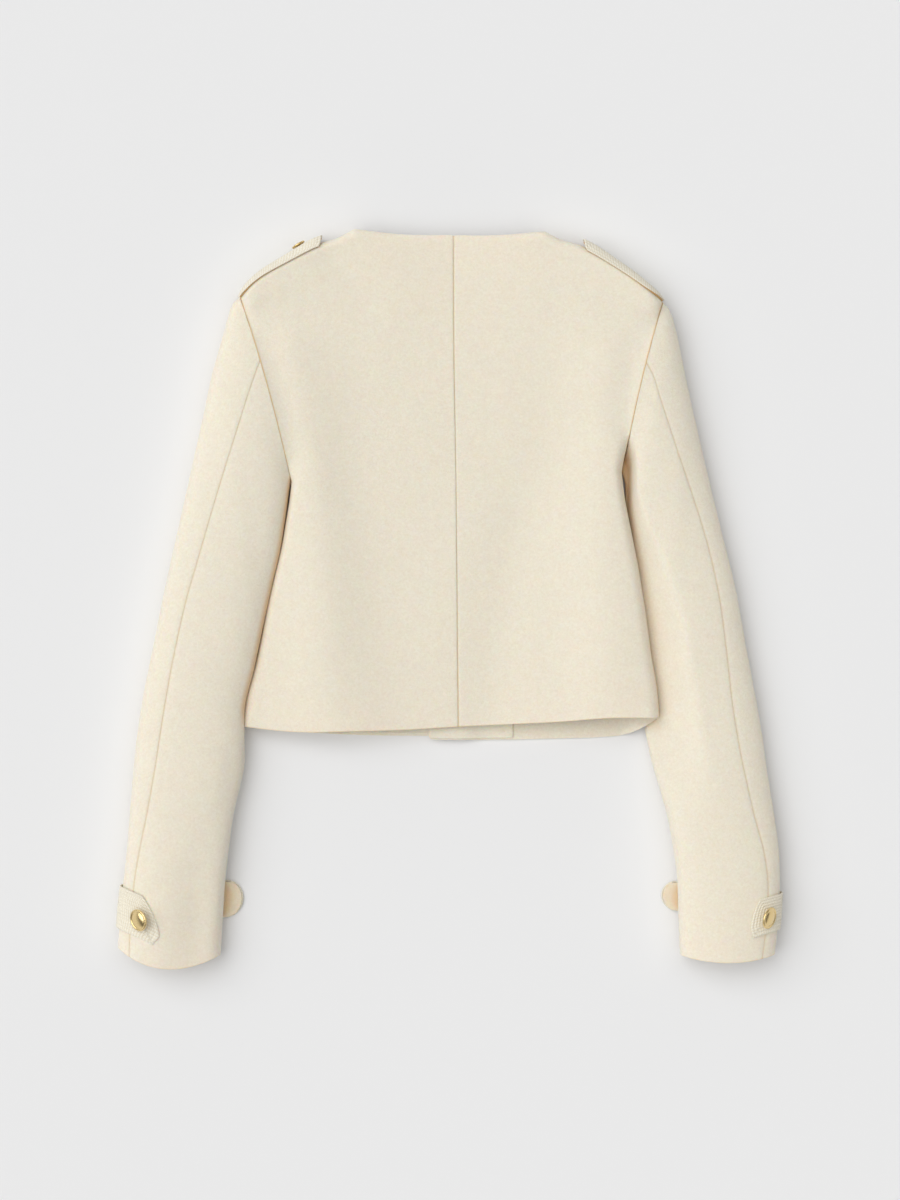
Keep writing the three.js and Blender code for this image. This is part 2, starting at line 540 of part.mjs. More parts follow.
function cuffPath(strap, side) {
  const { sleeve } = SIDES[strap.name];
  const onSleeve = (angle, t) => sleevePoint(sleeve, t, angle);
  const normal = (angle, t) => {
    const d = 1e-3;
    const around = onSleeve(angle + d, t).sub(onSleeve(angle - d, t));
    const down = onSleeve(angle, t + d).sub(onSleeve(angle, t - d));
    return around.cross(down).normalize().multiplyScalar(-side);
  };
  const first = 0.5 - 0.5 * Math.cos(FOLD_ANGLE);
  return (u, v, out) => {
    const tabEnd = strap.tabEnd - strap.upperCut * (1 - v) ** 2.4 - strap.lowerCut * smooth(0.7, 1, v);
    const across = (v - 0.5) * strap.width / SLEEVE_TABLE_LENGTH;
    if (u < FOLD_U) {
      const angle = u < TAB_U
        ? lerp(Math.acos(1 - 2 * tabEnd), 0, u / TAB_U)
        : -FOLD_ANGLE * ((u - TAB_U) / (FOLD_U - TAB_U)) ** 2;
      const share = 0.5 - 0.5 * Math.cos(angle);
      const straight = strap.middle + across;
      const bow = along(sleeve, 'bow', straight) * 4 * share * (1 - share);
      const t = straight + ((angle > 0 ? strap.slant * share : 0) - bow) / SLEEVE_TABLE_LENGTH;
      return onSleeve(angle, t).addScaledVector(normal(angle, t), out);
    }
    const f = (u - FOLD_U) / (1 - FOLD_U);
    const share = lerp(first, 1 + strap.knobOut * Math.sqrt(1 - 0.97 * (2 * v - 1) ** 2), f);
    const t = strap.middle + across * lerp(1, KNOB_WIDTH, f) - strap.rise * f / SLEEVE_TABLE_LENGTH;
    const at = (column) => along(sleeve, column, t);
    return new THREE.Vector3(
      lerp(at('ox'), at('ix'), share), lerp(at('oy'), at('iy'), share), STRAP_LIFT - out);
  };
}

// Metal shank buttons: a low dome with a rolled rim, on a shank. Heights are over the shank.
const BUTTON_PROFILE = rows(['radius', 'height'], [
  [0.26, 0], [0.86, 0.04], [1, 0.16], [0.88, 0.24], [0.55, 0.34], [0, 0.40],
]);
const BUTTON_SEGMENTS = 14;
const BUTTON_CLEAR = 1.5;       // the shank's foot is clear of the braid, also where it tilts
const LEAN_DOWN = 0.35;         // a cuff button leans out from the sleeve, and a little to the cuff

function addButton(name, { radius, shank, lean }, path, u, v, out, side) {
  const points = [[0, 0], [0.26 * radius, 0], ...BUTTON_PROFILE.map(
    (row) => [row.radius * radius, shank + row.height * radius])];
  const button = add(name, new THREE.LatheGeometry(
    points.map(([r, h]) => new THREE.Vector2(r, h)), BUTTON_SEGMENTS), GILT);
  const face = (a, b) => path(a, b, out);
  const normal = normalAt(face, u, v, side);
  button.position.copy(face(u, v)).addScaledVector(normal, BRAID_RIDGE + (lean ? BUTTON_CLEAR : LAY));
  const axis = normal.clone().add(new THREE.Vector3(lean, -Math.abs(lean) * LEAN_DOWN, 0)).normalize();
  button.quaternion.setFromUnitVectors(new THREE.Vector3(0, 1, 0), axis);
}

const EPAULETTE_BUTTON = { radius: 6.5, shank: 0.5, lean: 0 };
const EPAULETTE_BUTTON_PLACE = { u: 0.24, v: 0.5 };
for (const epaulette of EPAULETTES) {
  const { name } = epaulette;
  const side = name === 'left' ? -1 : 1;
  const path = epaulettePath(epaulette, side);
  const rings = ringSteps(EPAULETTE_LENGTH);
  const us = [...rings, ...steps((BRAID_RINGS * BRAID_PITCH) / EPAULETTE_LENGTH, 1, 6), 1];
  const out = addStrap(`epaulette_${name}`, path, us, EPAULETTE_LENGTH, side, false);
  if (name === 'left') {
    const { u, v } = EPAULETTE_BUTTON_PLACE;
    addButton(`epaulette_button_${name}`, EPAULETTE_BUTTON, path, u, v, out, side);
  }
}

const CUFF_BUTTON = { radius: 10, shank: 3.4 };
const CUFF_BUTTON_V = 0.52;
for (const strap of CUFF_STRAPS) {
  const { name, tabEnd, buttonShare } = strap;
  const side = name === 'left' ? 1 : -1;
  const path = cuffPath(strap, side);
  const row = BRAID_PITCH / CUFF_STRAP_LENGTH;
  const us = [...ringSteps(CUFF_STRAP_LENGTH), ...steps(BRAID_RINGS * row, TAB_U, 6),
    ...steps(TAB_U, FOLD_U, 6), ...steps(FOLD_U, 1 - row, 5), 1 - row, 1 - row / 2, 1];
  const out = addStrap(`cuff_strap_${name}`, path, us, CUFF_STRAP_LENGTH, side, true);
  const buttonU = TAB_U * (1 - Math.acos(1 - 2 * buttonShare) / Math.acos(1 - 2 * tabEnd));
  const button = { ...CUFF_BUTTON, lean: -side * strap.lean };
  addButton(`cuff_button_${name}`, button, path, buttonU, CUFF_BUTTON_V, out, side);
}

export default jacket;
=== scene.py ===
import math

import bmesh
import bpy
import numpy as np
from mathutils import Matrix, Vector


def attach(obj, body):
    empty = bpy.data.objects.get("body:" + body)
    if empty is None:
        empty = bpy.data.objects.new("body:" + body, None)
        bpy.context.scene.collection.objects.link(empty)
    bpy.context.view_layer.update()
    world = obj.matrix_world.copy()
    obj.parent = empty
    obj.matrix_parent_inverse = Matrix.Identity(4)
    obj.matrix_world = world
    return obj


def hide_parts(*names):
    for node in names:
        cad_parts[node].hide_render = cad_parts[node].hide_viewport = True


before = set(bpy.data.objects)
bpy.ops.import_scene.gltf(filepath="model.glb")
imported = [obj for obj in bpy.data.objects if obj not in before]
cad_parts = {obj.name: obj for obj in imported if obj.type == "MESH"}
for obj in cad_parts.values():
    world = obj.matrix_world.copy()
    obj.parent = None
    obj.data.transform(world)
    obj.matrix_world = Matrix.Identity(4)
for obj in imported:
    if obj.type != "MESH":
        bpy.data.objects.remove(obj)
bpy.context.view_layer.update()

# A cropped, collarless jacket of thick felted wool with braided epaulettes and cuff straps, lying
# face down on a pale surface. Sizes are in millimetres and become metres where a mesh is made.
# Left and right are the wearer's, and left is -X. Every cloth piece is a grid of points on its
# outer face, on the same lines as its solid, with the wall's thickness behind it.

MM = 0.001

# Cloth, and the spaces between pieces
WALL = 2.2                # felted wool, pressed
FACING_WALL = 1.6
STRAP_WALL = 1.3
BRAID_WALL = 1.0
SEAM = 0.12               # left open between two sewn pieces
ARMHOLE_SEAM = 0.3        # the same between the body and a sleeve
LAY = 0.3                 # left open between a piece and what it lies on
CLOTH_STEP = 3.2          # grid spacing of the finished cloth
GROOVE_DEEP = 0.45        # a sewn seam sinks this far into the felt
GROOVE_WIDE = 2.4

# Sleeves
SLEEVE_LENGTH = 600
SLEEVE_CREST = 0.8        # the upper side's roundness: the lower, the fuller it is at its folds
UNDERSIDE_SHARE = 0.4     # the folds lie this share of the sleeve's height up
UNDERSIDE_SAG = 1.15      # past 1 the underside lies flat on the floor between the folds
UNDERSIDE_FALL = 0.35     # how steeply it falls inside the folds: the lower, the steeper
INNER_HIGH = 11           # height of the right sleeve's inner edge, pressed flat under the body
PRESS_FROM = (0.78, 0.5)  # share of the width where it begins to be pressed, at the top and below
PRESS_WIDENS = (0.15, 0.45)   # shares of the length where that changes from one to the other
PRESS_TO = 0.95           # share of the width where it is wholly flat
STRAP_LIFT = 4.35         # the cuff strap under a sleeve lifts its end this high

# Body
BODY_LENGTH = 440
UNDERARM_V = 0.5          # share of the body's length where its side meets the armhole
NECK_U = 0.46             # share of a half's width where the neckline meets the shoulder
NECK_HIGH = 22            # at the shoulder
NECK_CENTRE_HIGH = 25     # at the centre back
SHOULDER_ROLL = 15        # the cloth rolls over its edges within these widths
BACK_SIDE_ROLL = 15
FRONT_SIDE_ROLL = 8
RISER_OUT = 34            # the right front rises here, inside its side, to the side seam's height
RISER_IN = 17
RISER_SHARE = 0.74        # and it has risen this share of the way where its side begins to roll
SIDE_SETTLE = 45          # below the underarm the side comes down to its own height in this length
SIDE_SPREAD = {"left": -2.5, "right": 0.3}   # the body's folded sides lie against the sleeves
FRONT_LAP = 4.5           # the right front lies this high over the left one's lap
LAP_ENDS = (8, 34)        # and comes down to the floor between these places across


def clamp(x, low, high):
    return np.minimum(np.maximum(x, low), high)


def lerp(a, b, t):
    return a + (b - a) * t


def smooth(a, b, x):
    t = clamp((x - a) / (b - a), 0, 1)
    return t * t * (3 - 2 * t)


def bell(away, wide):
    """1 where away is 0, and soft down to nothing past that width."""
    return np.exp(-((away / wide) ** 2))


def table(names, lines):
    return {name: np.array(column, float) for name, column in zip(names.split(), zip(*lines))}


def along(column, t):
    """A table's column at t, from 0 at its first row to 1 at its last, with smooth curves between."""
    last = len(column) - 1
    place = clamp(t, 0, 1) * last
    row = np.minimum(np.floor(place), last - 1).astype(int)
    f = place - row
    a, b, c, d = (column[clamp(row + k, 0, last)] for k in (-1, 0, 1, 2))
    return b + 0.5 * f * (c - a + f * (2 * a - 5 * b + 4 * c - d + f * (3 * (b - c) + d - a)))


# Sleeves, from armhole to cuff: outer and inner ends of each section in plan, the height of its
# middle, its bow towards the cuff, how much its inner edge is pressed flat, how much the strap
# under it lifts it, and the back seam, as a share of its width from the outer end.
SLEEVE_COLUMNS = "ox oy ix iy high bow press lift seam"

SLEEVE_LEFT = table(SLEEVE_COLUMNS, [
    (-187.7, 271.8, -141.8, 106.2, 38, -3, 0, 0, 0.36),
    (-195.8, 263.0, -143.5, 97.2, 39, -2, 0, 0, 0.39),
    (-203.8, 234.9, -145.2, 84.6, 40, -1, 0, 0, 0.38),
    (-213.8, 198.9, -147.8, 66.6, 40, 0, 0, 0, 0.37),
    (-222.8, 156.6, -151.8, 41.4, 39, 0, 0, 0, 0.33),
    (-232.7, 112.5, -157.2, 18.9, 38, 0, 0, 0, 0.30),
    (-244.3, 60.3, -163.5, -8.1, 38, 0, 0, 0, 0.27),
    (-256.1, 7.2, -169.8, -36.9, 38, 0, 0, 0, 0.24),
    (-266.4, -44.1, -176.1, -65.7, 38, 0, 0, 0, 0.23),
    (-274.9, -86.0, -183.0, -94.0, 38, 0, 0, 0, 0.24),
    (-280.4, -122.0, -184.6, -121.0, 38, 0, 0, 0, 0.23),
    (-283.7, -152.0, -184.2, -150.0, 38, 0, 0, 0.23, 0.21),
    (-287.0, -193.0, -193.6, -193.0, 37, 0, 0, 0.57, 0.18),
    (-289.2, -223.0, -197.8, -223.0, 36, 0, 0, 0.85, 0.14),
    (-292.3, -253.0, -201.4, -254.0, 36, 2, 0, 1, 0.12),
    (-295.5, -283.0, -203.6, -287.0, 35, 6, 0, 1, 0.12),
    (-297.4, -313.0, -205.6, -321.0, 34, 14, 0, 1, 0.13)])

SLEEVE_RIGHT = table(SLEEVE_COLUMNS, [
    (193.1, 267.3, 156.8, 114.3, 38, -3, 1, 0, 0.37),
    (200.2, 258.3, 159.8, 103.5, 39, -2, 1, 0, 0.38),
    (206.6, 234.9, 159.4, 86.4, 40, -1, 1, 0, 0.36),
    (213.8, 198.9, 158.0, 66.6, 40, 0, 1, 0, 0.31),
    (223.2, 156.6, 159.8, 41.4, 39, 0, 1, 0, 0.26),
    (233.6, 112.5, 162.5, 17.1, 38, 0, 1, 0, 0.21),
    (246.2, 60.3, 165.2, -11.7, 38, 0, 1, 0, 0.17),
    (259.2, 7.2, 169.7, -41.4, 38, 0, 1, 0, 0.18),
    (268.7, -45.9, 173.2, -70.2, 38, 0, 1, 0, 0.20),
    (276.8, -88.0, 176.8, -96.0, 38, 0, 1, 0, 0.23),
    (282.6, -122.0, 178.7, -122.0, 38, 0, 0.9, 0, 0.23),
    (286.7, -152.0, 185.0, -152.0, 38, 0, 0.4, 0.23, 0.22),
    (293.0, -193.0, 196.6, -193.0, 37, 0, 0, 0.57, 0.20),
    (297.0, -223.0, 202.4, -223.0, 36, 0, 0, 0.85, 0.16),
    (298.2, -253.0, 206.2, -253.0, 36, 2, 0, 1, 0.13),
    (296.8, -285.0, 207.4, -285.5, 35, 3, 0, 1, 0.13),
    (293.9, -319.0, 208.8, -320.0, 34, 6, 0, 1, 0.15)])


def sleeve_point(sleeve, t, angle):
    """A point on a sleeve's outer face. The angle is 0 at the outer fold and pi at the inner one,
    over the top; from pi to 2 pi it goes back under the sleeve, which lies flat."""
    t, angle = np.broadcast_arrays(np.asarray(t, float), np.asarray(angle, float))
    at = {name: along(column, t) for name, column in sleeve.items()}
    share = 0.5 - 0.5 * np.cos(angle)
    pressed_from = lerp(*PRESS_FROM, smooth(*PRESS_WIDENS, t))
    press = smooth(pressed_from, PRESS_TO, share) * at["press"]
    high = lerp(at["high"], INNER_HIGH, press)
    middle = lerp(at["high"] * UNDERSIDE_SHARE, INNER_HIGH / 2, press)
    swell = np.abs(np.sin(angle))
    z = np.where(np.sin(angle) >= 0, middle + (high - middle) * swell ** SLEEVE_CREST,
                 np.maximum(0, middle * (1 - UNDERSIDE_SAG * swell ** UNDERSIDE_FALL)))
    across_x, across_y = at["ix"] - at["ox"], at["iy"] - at["oy"]
    bow = at["bow"] * 4 * share * (1 - share) * np.sign(across_x) / np.hypot(across_x, across_y)
    return np.stack([
        lerp(at["ox"], at["ix"], share) + across_y * bow,
        lerp(at["oy"], at["iy"], share) - across_x * bow,
        z + np.maximum(0, at["lift"]) * STRAP_LIFT], axis=-1)


# Body outlines in plan. Sides run from hem to underarm, hems and necklines from the centre
# outwards, shoulders from the neck point to the shoulder tip.
XY = "x y"
SIDE_LEFT = table(XY, [(-184.0, -114.8), (-180.2, -87.2), (-172.4, -59.6), (-166.4, -31.9),
                       (-161.0, -4.3), (-154.4, 23.3), (-147.8, 51.0), (-143.6, 78.6), (-141.4, 106.2)])
SIDE_RIGHT = table(XY, [(189.5, -107.0), (187.2, -79.4), (182.6, -51.8), (179.0, -24.2), (174.9, 3.4),
                        (170.3, 31.0), (164.8, 58.7), (159.5, 86.3), (156.4, 114.3)])
CENTRE_BACK = table(XY, [(9.0, -115.0), (7.8, -4.6), (6.8, 105.8), (5.0, 216.3), (4.5, 326.7)])
HEM_BACK_LEFT = table(XY, [(9, -115), (-39, -117.8), (-87, -118.9), (-136, -119.6), (-184, -114.8)])
HEM_BACK_RIGHT = table(XY, [(9, -115), (54, -113), (99, -110.5), (145, -106.8), (189.5, -107)])
NECK_BACK_LEFT = table(XY, [(4.5, 326.7), (-40, 327.6), (-84.2, 333)])
NECK_BACK_RIGHT = table(XY, [(4.5, 326.7), (45, 327.0), (86, 330.8)])
SHOULDER_LEFT = table(XY, [(-84.2, 333), (-101, 324.5), (-122, 317.6), (-150, 303),
                           (-171.5, 289), (-187.2, 271.8)])
SHOULDER_RIGHT = table(XY, [(86, 330.8), (101, 323.5), (118, 318.5), (139, 308), (161, 294),
                            (178.5, 280), (192.6, 267.3)])
LEFT_EDGE = table(XY, [(-4, -123.8), (-4, 60), (-4, 245)])
RIGHT_EDGE = table(XY, [(-18.5, -127.2), (-18, 60), (-16, 245)])
HEM_FRONT_LEFT = table(XY, [(-4, -123.8), (-49, -123.8), (-94, -122.6), (-139, -119.8), (-184, -114.8)])
HEM_FRONT_RIGHT = table(XY, [(-18.5, -127.2), (7.5, -127.4), (33.5, -127.4), (59.5, -127.2),
                             (85.5, -126.6), (111.5, -126), (137.5, -125), (163.5, -121.5),
                             (189.5, -107)])
NECK_FRONT_LEFT = table(XY, [(-4, 245), (-38, 252), (-68, 284), (-84.2, 333)])
NECK_FRONT_RIGHT = table(XY, [(-16, 245), (26, 250), (66, 282), (86, 330.8)])

# Height of the back from hem to shoulder, and the crests and troughs of its long soft folds, each a
# route over the back with its height and width
BACK_HEIGHT = table("centre half left right", [
    (17, 18, 19, 26), (21, 22, 21, 27), (24, 25, 24, 28), (28, 30, 35, 35), (27, 33, 37, 37)])
FOLD = "x y high wide"
BACK_FOLDS = [
    table(FOLD, [(-102, -114, 10, 44), (-110, -61, 11, 41), (-121, 107, 10, 29), (-140, 221, 5, 22)]),
    table(FOLD, [(140, -112, 9, 46), (141, -61, 10, 44), (141, 70, 10, 38), (142, 209, 6, 27)]),
    table(FOLD, [(36, -112, -3, 28), (42, -40, -3.5, 26), (62, 60, -3, 24), (75, 130, 0, 20)]),
    table(FOLD, [(-104, 305, -2, 14), (-73, 275, -2, 14)])]

SIDES = {
    "left": {"sleeve": SLEEVE_LEFT, "side": SIDE_LEFT, "high": 8, "shoulder": SHOULDER_LEFT},
    "right": {"sleeve": SLEEVE_RIGHT, "side": SIDE_RIGHT, "high": 15.5, "shoulder": SHOULDER_RIGHT}}


def fold_height(x, y):
    """How far the folds raise the back: each counts once, at its nearest stretch."""
    total = np.zeros_like(x)
    for fold in BACK_FOLDS:
        nearest = np.full_like(x, np.inf)
        height = np.zeros_like(x)
        for k in range(len(fold["x"]) - 1):
            start, end = ({name: column[at] for name, column in fold.items()} for at in (k, k + 1))
            dx, dy = end["x"] - start["x"], end["y"] - start["y"]
            t = clamp(((x - start["x"]) * dx + (y - start["y"]) * dy) / (dx * dx + dy * dy), 0, 1)
            away = np.hypot(x - start["x"] - t * dx, y - start["y"] - t * dy)
            wide, high = (lerp(start[name], end[name], t) for name in ("wide", "high"))
            closer = away < nearest
            height = np.where(closer, high * bell(away, wide), height)
            nearest = np.minimum(away, nearest)
        total += height
    return total


def armhole_point(name, is_back, t):
    """The armhole's edge on the body, from underarm, 0, to shoulder tip, 1."""
    share = 0.5 * t + 0.25 * (1 - np.cos(np.pi * t))
    over_top = np.arccos(clamp(2 * share - 1, -1, 1))
    angle = over_top if is_back else 2 * np.pi - over_top
    point = sleeve_point(SIDES[name]["sleeve"], 0, angle)
    point[..., 0] += ARMHOLE_SEAM if name == "left" else -ARMHOLE_SEAM
    return point


def side_edge(name, is_back, v):
    """The body's side from hem to underarm, and then the armhole up to the shoulder tip."""
    side, high = SIDES[name]["side"], SIDES[name]["high"]
    armhole = armhole_point(name, is_back, clamp((v - UNDERARM_V) / (1 - UNDERARM_V), 0, 1))
    underarm = armhole_point(name, is_back, np.zeros_like(v))
    t = clamp(v / UNDERARM_V, 0, 1)
    x, y = along(side["x"], t), along(side["y"], t)
    settle = smooth(0, SIDE_SETTLE, side["y"][-1] - y)
    x = x + (underarm[..., 0] - side["x"][-1]) * (1 - settle) + SIDE_SPREAD[name] * settle
    below = np.stack([x, y, lerp(underarm[..., 2], high, settle)], axis=-1)
    return np.where((v >= UNDERARM_V)[..., None], armhole, below)


def top_edge(panel, u):
    """The neckline from the centre out, and then the shoulder up to the sleeve."""
    name, neck = panel["name"], panel["neck"]
    shoulder = SIDES[name]["shoulder"]
    t = clamp(u / NECK_U, 0, 1)
    x, y = along(neck["x"], t), along(neck["y"], t)
    if panel["is_back"]:
        z = lerp(NECK_CENTRE_HIGH, NECK_HIGH, t ** 3)
    else:
        z = lerp(panel["crown"](u, np.ones_like(u), x, y), NECK_HIGH, smooth(0.3, 1, t))
    on_neck = np.stack([x, y, z + 0 * u], axis=-1)
    t = clamp((u - NECK_U) / (1 - NECK_U), 0, 1)
    tip = armhole_point(name, panel["is_back"], np.ones_like(u))
    on_shoulder = np.stack([
        along(shoulder["x"], t) + (tip[..., 0] - shoulder["x"][-1]) * t,
        along(shoulder["y"], t) + (tip[..., 1] - shoulder["y"][-1]) * t,
        lerp(NECK_HIGH, tip[..., 2], t)], axis=-1)
    return np.where((u < NECK_U)[..., None], on_neck, on_shoulder)


CORNER_REACH = 0.15       # share of the body's length that a rounded corner draws up


def roll(away, width):
    """How much of the crown is left at a distance from an edge that rolls over."""
    return np.sqrt(1 - (1 - clamp(away / width, 0, 1)) ** 2)


def panel_width(panel):
    return abs(panel["hem"]["x"][-1] - panel["hem"]["x"][0])


def corner_lift(panel, u, v):
    """How far the hem is drawn up where a corner of the panel is cut round."""
    lift = np.zeros_like(u)
    for corner, from_corner in (("round_centre", u / 2), ("round_side", 1 - u)):
        if corner in panel:
            lift += panel[corner] * (1 - roll(from_corner, panel[corner] / panel_width(panel)))
    return lift * (1 - smooth(0, CORNER_REACH, v))


def edge_share(panel, u, v, rise):
    """Where an edge is lower than the crown the cloth rolls over to it, and where it is as high it
    runs out to it gently."""
    width = panel_width(panel)
    gentle = smooth(-12, -2, rise) if panel["is_back"] else 0
    side_roll = BACK_SIDE_ROLL if panel["is_back"] else FRONT_SIDE_ROLL
    rolled = roll(1 - u, side_roll / width)
    riser = 1 - RISER_SHARE * smooth(1 - RISER_OUT / width, 1 - RISER_IN / width, u)
    below = 1 - smooth(UNDERARM_V, UNDERARM_V + 0.04, v) if panel.get("under_fold") else 0
    side = lerp(rolled, rolled * riser, below)
    return lerp(side, 1 - smooth(0.6, 1, u), gentle) * roll(1 - v, SHOULDER_ROLL / BODY_LENGTH)


def panel_point(panel, u, v):
    """A point of a half panel, u from the centre out and v from the hem up: four edges filled
    between, and a crown that rolls down to them."""
    u, v = np.broadcast_arrays(np.asarray(u, float), np.asarray(v, float))
    hem, centre = panel["hem"], panel["centre"]
    side, top = side_edge(panel["name"], panel["is_back"], v), top_edge(panel, u)
    ends = np.array([0.0, 1.0])
    top_ends = top_edge(panel, ends)

    def fill(axis, name):
        return ((1 - v) * along(hem[name], u) + v * top[..., axis]
                + (1 - u) * along(centre[name], v) + u * side[..., axis]
                - (1 - u) * (1 - v) * hem[name][0] - u * (1 - v) * hem[name][-1]
                - (1 - u) * v * top_ends[0, axis] - u * v * top_ends[1, axis])

    x = fill(0, "x")
    y = fill(1, "y") + corner_lift(panel, u, v)
    to_side = (1 - u) * panel_width(panel) + 1e-6
    to_top = (1 - v) * BODY_LENGTH + 1e-6
    low = (side[..., 2] * to_top + top[..., 2] * to_side) / (to_top + to_side)
    high = panel["crown"](u, v, x, y)
    z = lerp(low, high, edge_share(panel, u, v, low - high))
    near = np.maximum(smooth(0.9, 1, u), smooth(0.9, 1, v)) * clamp(z / 4, 0, 1)
    return np.stack([x, y, z + (SEAM if panel["is_back"] else -SEAM) * near], axis=-1)


def back_crown(name):
    """The height of the back over the floor."""
    def crown(u, v, x, y):
        centre, half, side = (along(BACK_HEIGHT[c], v) for c in ("centre", "half", name))
        height = np.where(u < 0.5, lerp(centre, half, smooth(0, 0.5, u)),
                          lerp(half, side, smooth(0.5, 1, u)))
        return height + fold_height(x, y)
    return crown


def front_crown(lap):
    """The fronts lie on the floor, and the one with a lap lies over the other's edge."""
    def crown(u, v, x, y):
        return lap * (1 - smooth(*LAP_ENDS, x))
    return crown


PANELS = {
    "back_left": {"name": "left", "is_back": True, "centre": CENTRE_BACK, "hem": HEM_BACK_LEFT,
                  "neck": NECK_BACK_LEFT, "crown": back_crown("left")},
    "back_right": {"name": "right", "is_back": True, "centre": CENTRE_BACK, "hem": HEM_BACK_RIGHT,
                   "neck": NECK_BACK_RIGHT, "crown": back_crown("right"), "round_side": 5},
    "front_left": {"name": "left", "is_back": False, "centre": LEFT_EDGE, "hem": HEM_FRONT_LEFT,
                   "neck": NECK_FRONT_LEFT, "crown": front_crown(0)},
    "front_right": {"name": "right", "is_back": False, "centre": RIGHT_EDGE,
                    "hem": HEM_FRONT_RIGHT, "neck": NECK_FRONT_RIGHT, "crown": front_crown(FRONT_LAP),
                    "under_fold": True, "round_centre": 4.5, "round_side": 1}}


# Cloth pieces: a grid of points, bent down into a groove along sewn edges and given its wall

def new_piece(name, shape):
    """An object with a finished bmesh as its mesh."""
    mesh = bpy.data.meshes.new(name)
    shape.to_mesh(mesh)
    shape.free()
    piece = bpy.data.objects.new(name, mesh)
    bpy.context.scene.collection.objects.link(piece)
    return piece


def face_normals(points):
    """Unit normals of a grid of points, before its side is known."""
    across = np.gradient(points, axis=1)
    up = np.gradient(points, axis=0)
    normal = np.cross(across, up)
    return normal / np.maximum(np.linalg.norm(normal, axis=-1, keepdims=True), 1e-9)


def cloth_sheet(name, points, side, painted_shade, uvs):
    """A sheet of quads on a grid of points, with its cloth coordinates in millimetres as UVs. Side
    is -1 where the grid has to be turned to face outwards, and the painted shade given is 1 where a
    shaded crevice is painted wholly tan."""
    rows, columns = points.shape[:2]
    sheet = bmesh.new()
    bmesh.ops.create_grid(sheet, x_segments=columns - 1, y_segments=rows - 1, size=1)
    sheet.verts.ensure_lookup_table()
    painted_shade_layer = sheet.verts.layers.float.new("painted_shade")
    for vert, place, in_painted_shade in zip(sheet.verts, (points * MM).reshape(-1, 3), painted_shade.reshape(-1)):
        vert.co = place
        vert[painted_shade_layer] = in_painted_shade
    if side < 0:
        bmesh.ops.reverse_faces(sheet, faces=sheet.faces[:])
    if uvs is not None:
        layer = sheet.loops.layers.uv.new("cloth")
        pairs = uvs.reshape(-1, 2)
        sheet.verts.index_update()
        for face in sheet.faces:
            for loop in face.loops:
                loop[layer].uv = pairs[loop.vert.index]
    for face in sheet.faces:
        face.smooth = True
    return new_piece(name, sheet)


def give_wall(piece, wall, edge):
    """The cloth's thickness, behind its outer face, with softly rounded cut edges."""
    solid = piece.modifiers.new("wall", "SOLIDIFY")
    solid.thickness = wall * MM
    solid.offset = -1
    solid.use_even_offset = False
    bevel = piece.modifiers.new("edges", "BEVEL")
    bevel.width = edge * MM
    bevel.segments = 2
    bevel.limit_method = "ANGLE"
    bevel.angle_limit = math.radians(50)


def close_steps(count, ends):
    """Even steps from 0 to 1, with close ones within that reach of each end, for a sewn edge."""
    close = ends * np.array([0.3, 0.65, 1])
    return np.unique(np.concatenate([np.linspace(0, 1, count), close, 1 - close]))


def roll_steps(width, count):
    """Steps up to 1 that are closer and closer, for an edge that rolls over within that width."""
    return 1 - width * (1 - np.sin(np.linspace(0, np.pi / 2, count)))


def groove(away):
    return -GROOVE_DEEP * bell(away, GROOVE_WIDE)


# Small ripples along a seam, as where fullness is eased in: their spacing and height, how far
# they reach from the seam, and where the uneven waves begin
PUCKERS = {"centre back": (23, 0.10, 14, 0.4), "armhole": (17, 0.16, 12, 1.1),
           "sleeve seam": (21, 0.10, 10, 0.9), "sleeve head": (19, 0.25, 14, 0.2)}


def puckers(seam, place, away):
    spacing, high, reach, begin = PUCKERS[seam]
    wave = np.sin(2 * np.pi * place / spacing + begin) + 0.6 * np.sin(
        2 * np.pi * place / (1.73 * spacing) + 2.1 * begin)
    return high * wave * bell(away, reach) * smooth(0, 4, away)


# Broad, very low unevenness of thick cloth that was laid by hand: its height, and where it begins
UNEVEN = {"back_left": (0.22, 0.7), "back_right": (0.22, 1.9),
          "sleeve_left": (0.25, 2.4), "sleeve_right": (0.25, 3.1)}


def unevenness(part, points):
    high, begin = UNEVEN[part]
    x, y = points[..., 0], points[..., 1]
    return high * (np.sin(x / 31 + 1.3 * begin) * np.sin(y / 47 + begin)
                   + 0.6 * np.sin(x / 17 - y / 29 + 2 * begin))


# How much tan painted shade the wool has at a seam or an edge, where its crevice is shaded, and how far
# it reaches
EDGE_SHADES = {"centre back": (0.5, 0.9), "armhole": (0.7, 1.6), "hem": (0.5, 0.8),
         "sleeve seam": (0.35, 0.8), "sleeve head": (0.7, 1.6), "cuff": (0.5, 0.8)}


def edge_shade(seam, away):
    share, wide = EDGE_SHADES[seam]
    return share * bell(away, wide)


def finish_cloth(name, points, side, wall, material, lift=None, painted_shade=None, uvs=None, edge=0.5):
    """Moves a grid's points out by lift, turns it to a walled piece and puts it in the frame."""
    if lift is not None:
        points = points + face_normals(points) * (side * lift)[..., None]
    if painted_shade is None:
        painted_shade = np.zeros(points.shape[:2])
    piece = cloth_sheet(name, points, side, painted_shade, uvs)
    give_wall(piece, wall, edge)
    piece.data.materials.append(material)
    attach(piece, "root")
    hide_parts(name)
    return piece


# Materials

# The third colour is tan, painted into seams, creases, gaps and cut edges as painted shade.
WOOL_LIGHT, WOOL_SHADE, WOOL_PAINTED_SHADE = "#F3EBDA", "#EBE0CC", "#DFB06C"
BRAID_LIGHT, BRAID_SHADE = "#F3EEDF", "#E6DCC4"
GILT_COLOUR = "#ECD29A"
PAPER_COLOUR = "#ECECEC"
ROW_PITCH = 3.0           # rows of cord, side by side
PLAIT_PITCH = 2.6         # a strand crosses over this often
PLAIT_SLANT = 1.4
NAP_SHARE = 0.8           # the wool's shades follow its nap, and for the rest broad clouds


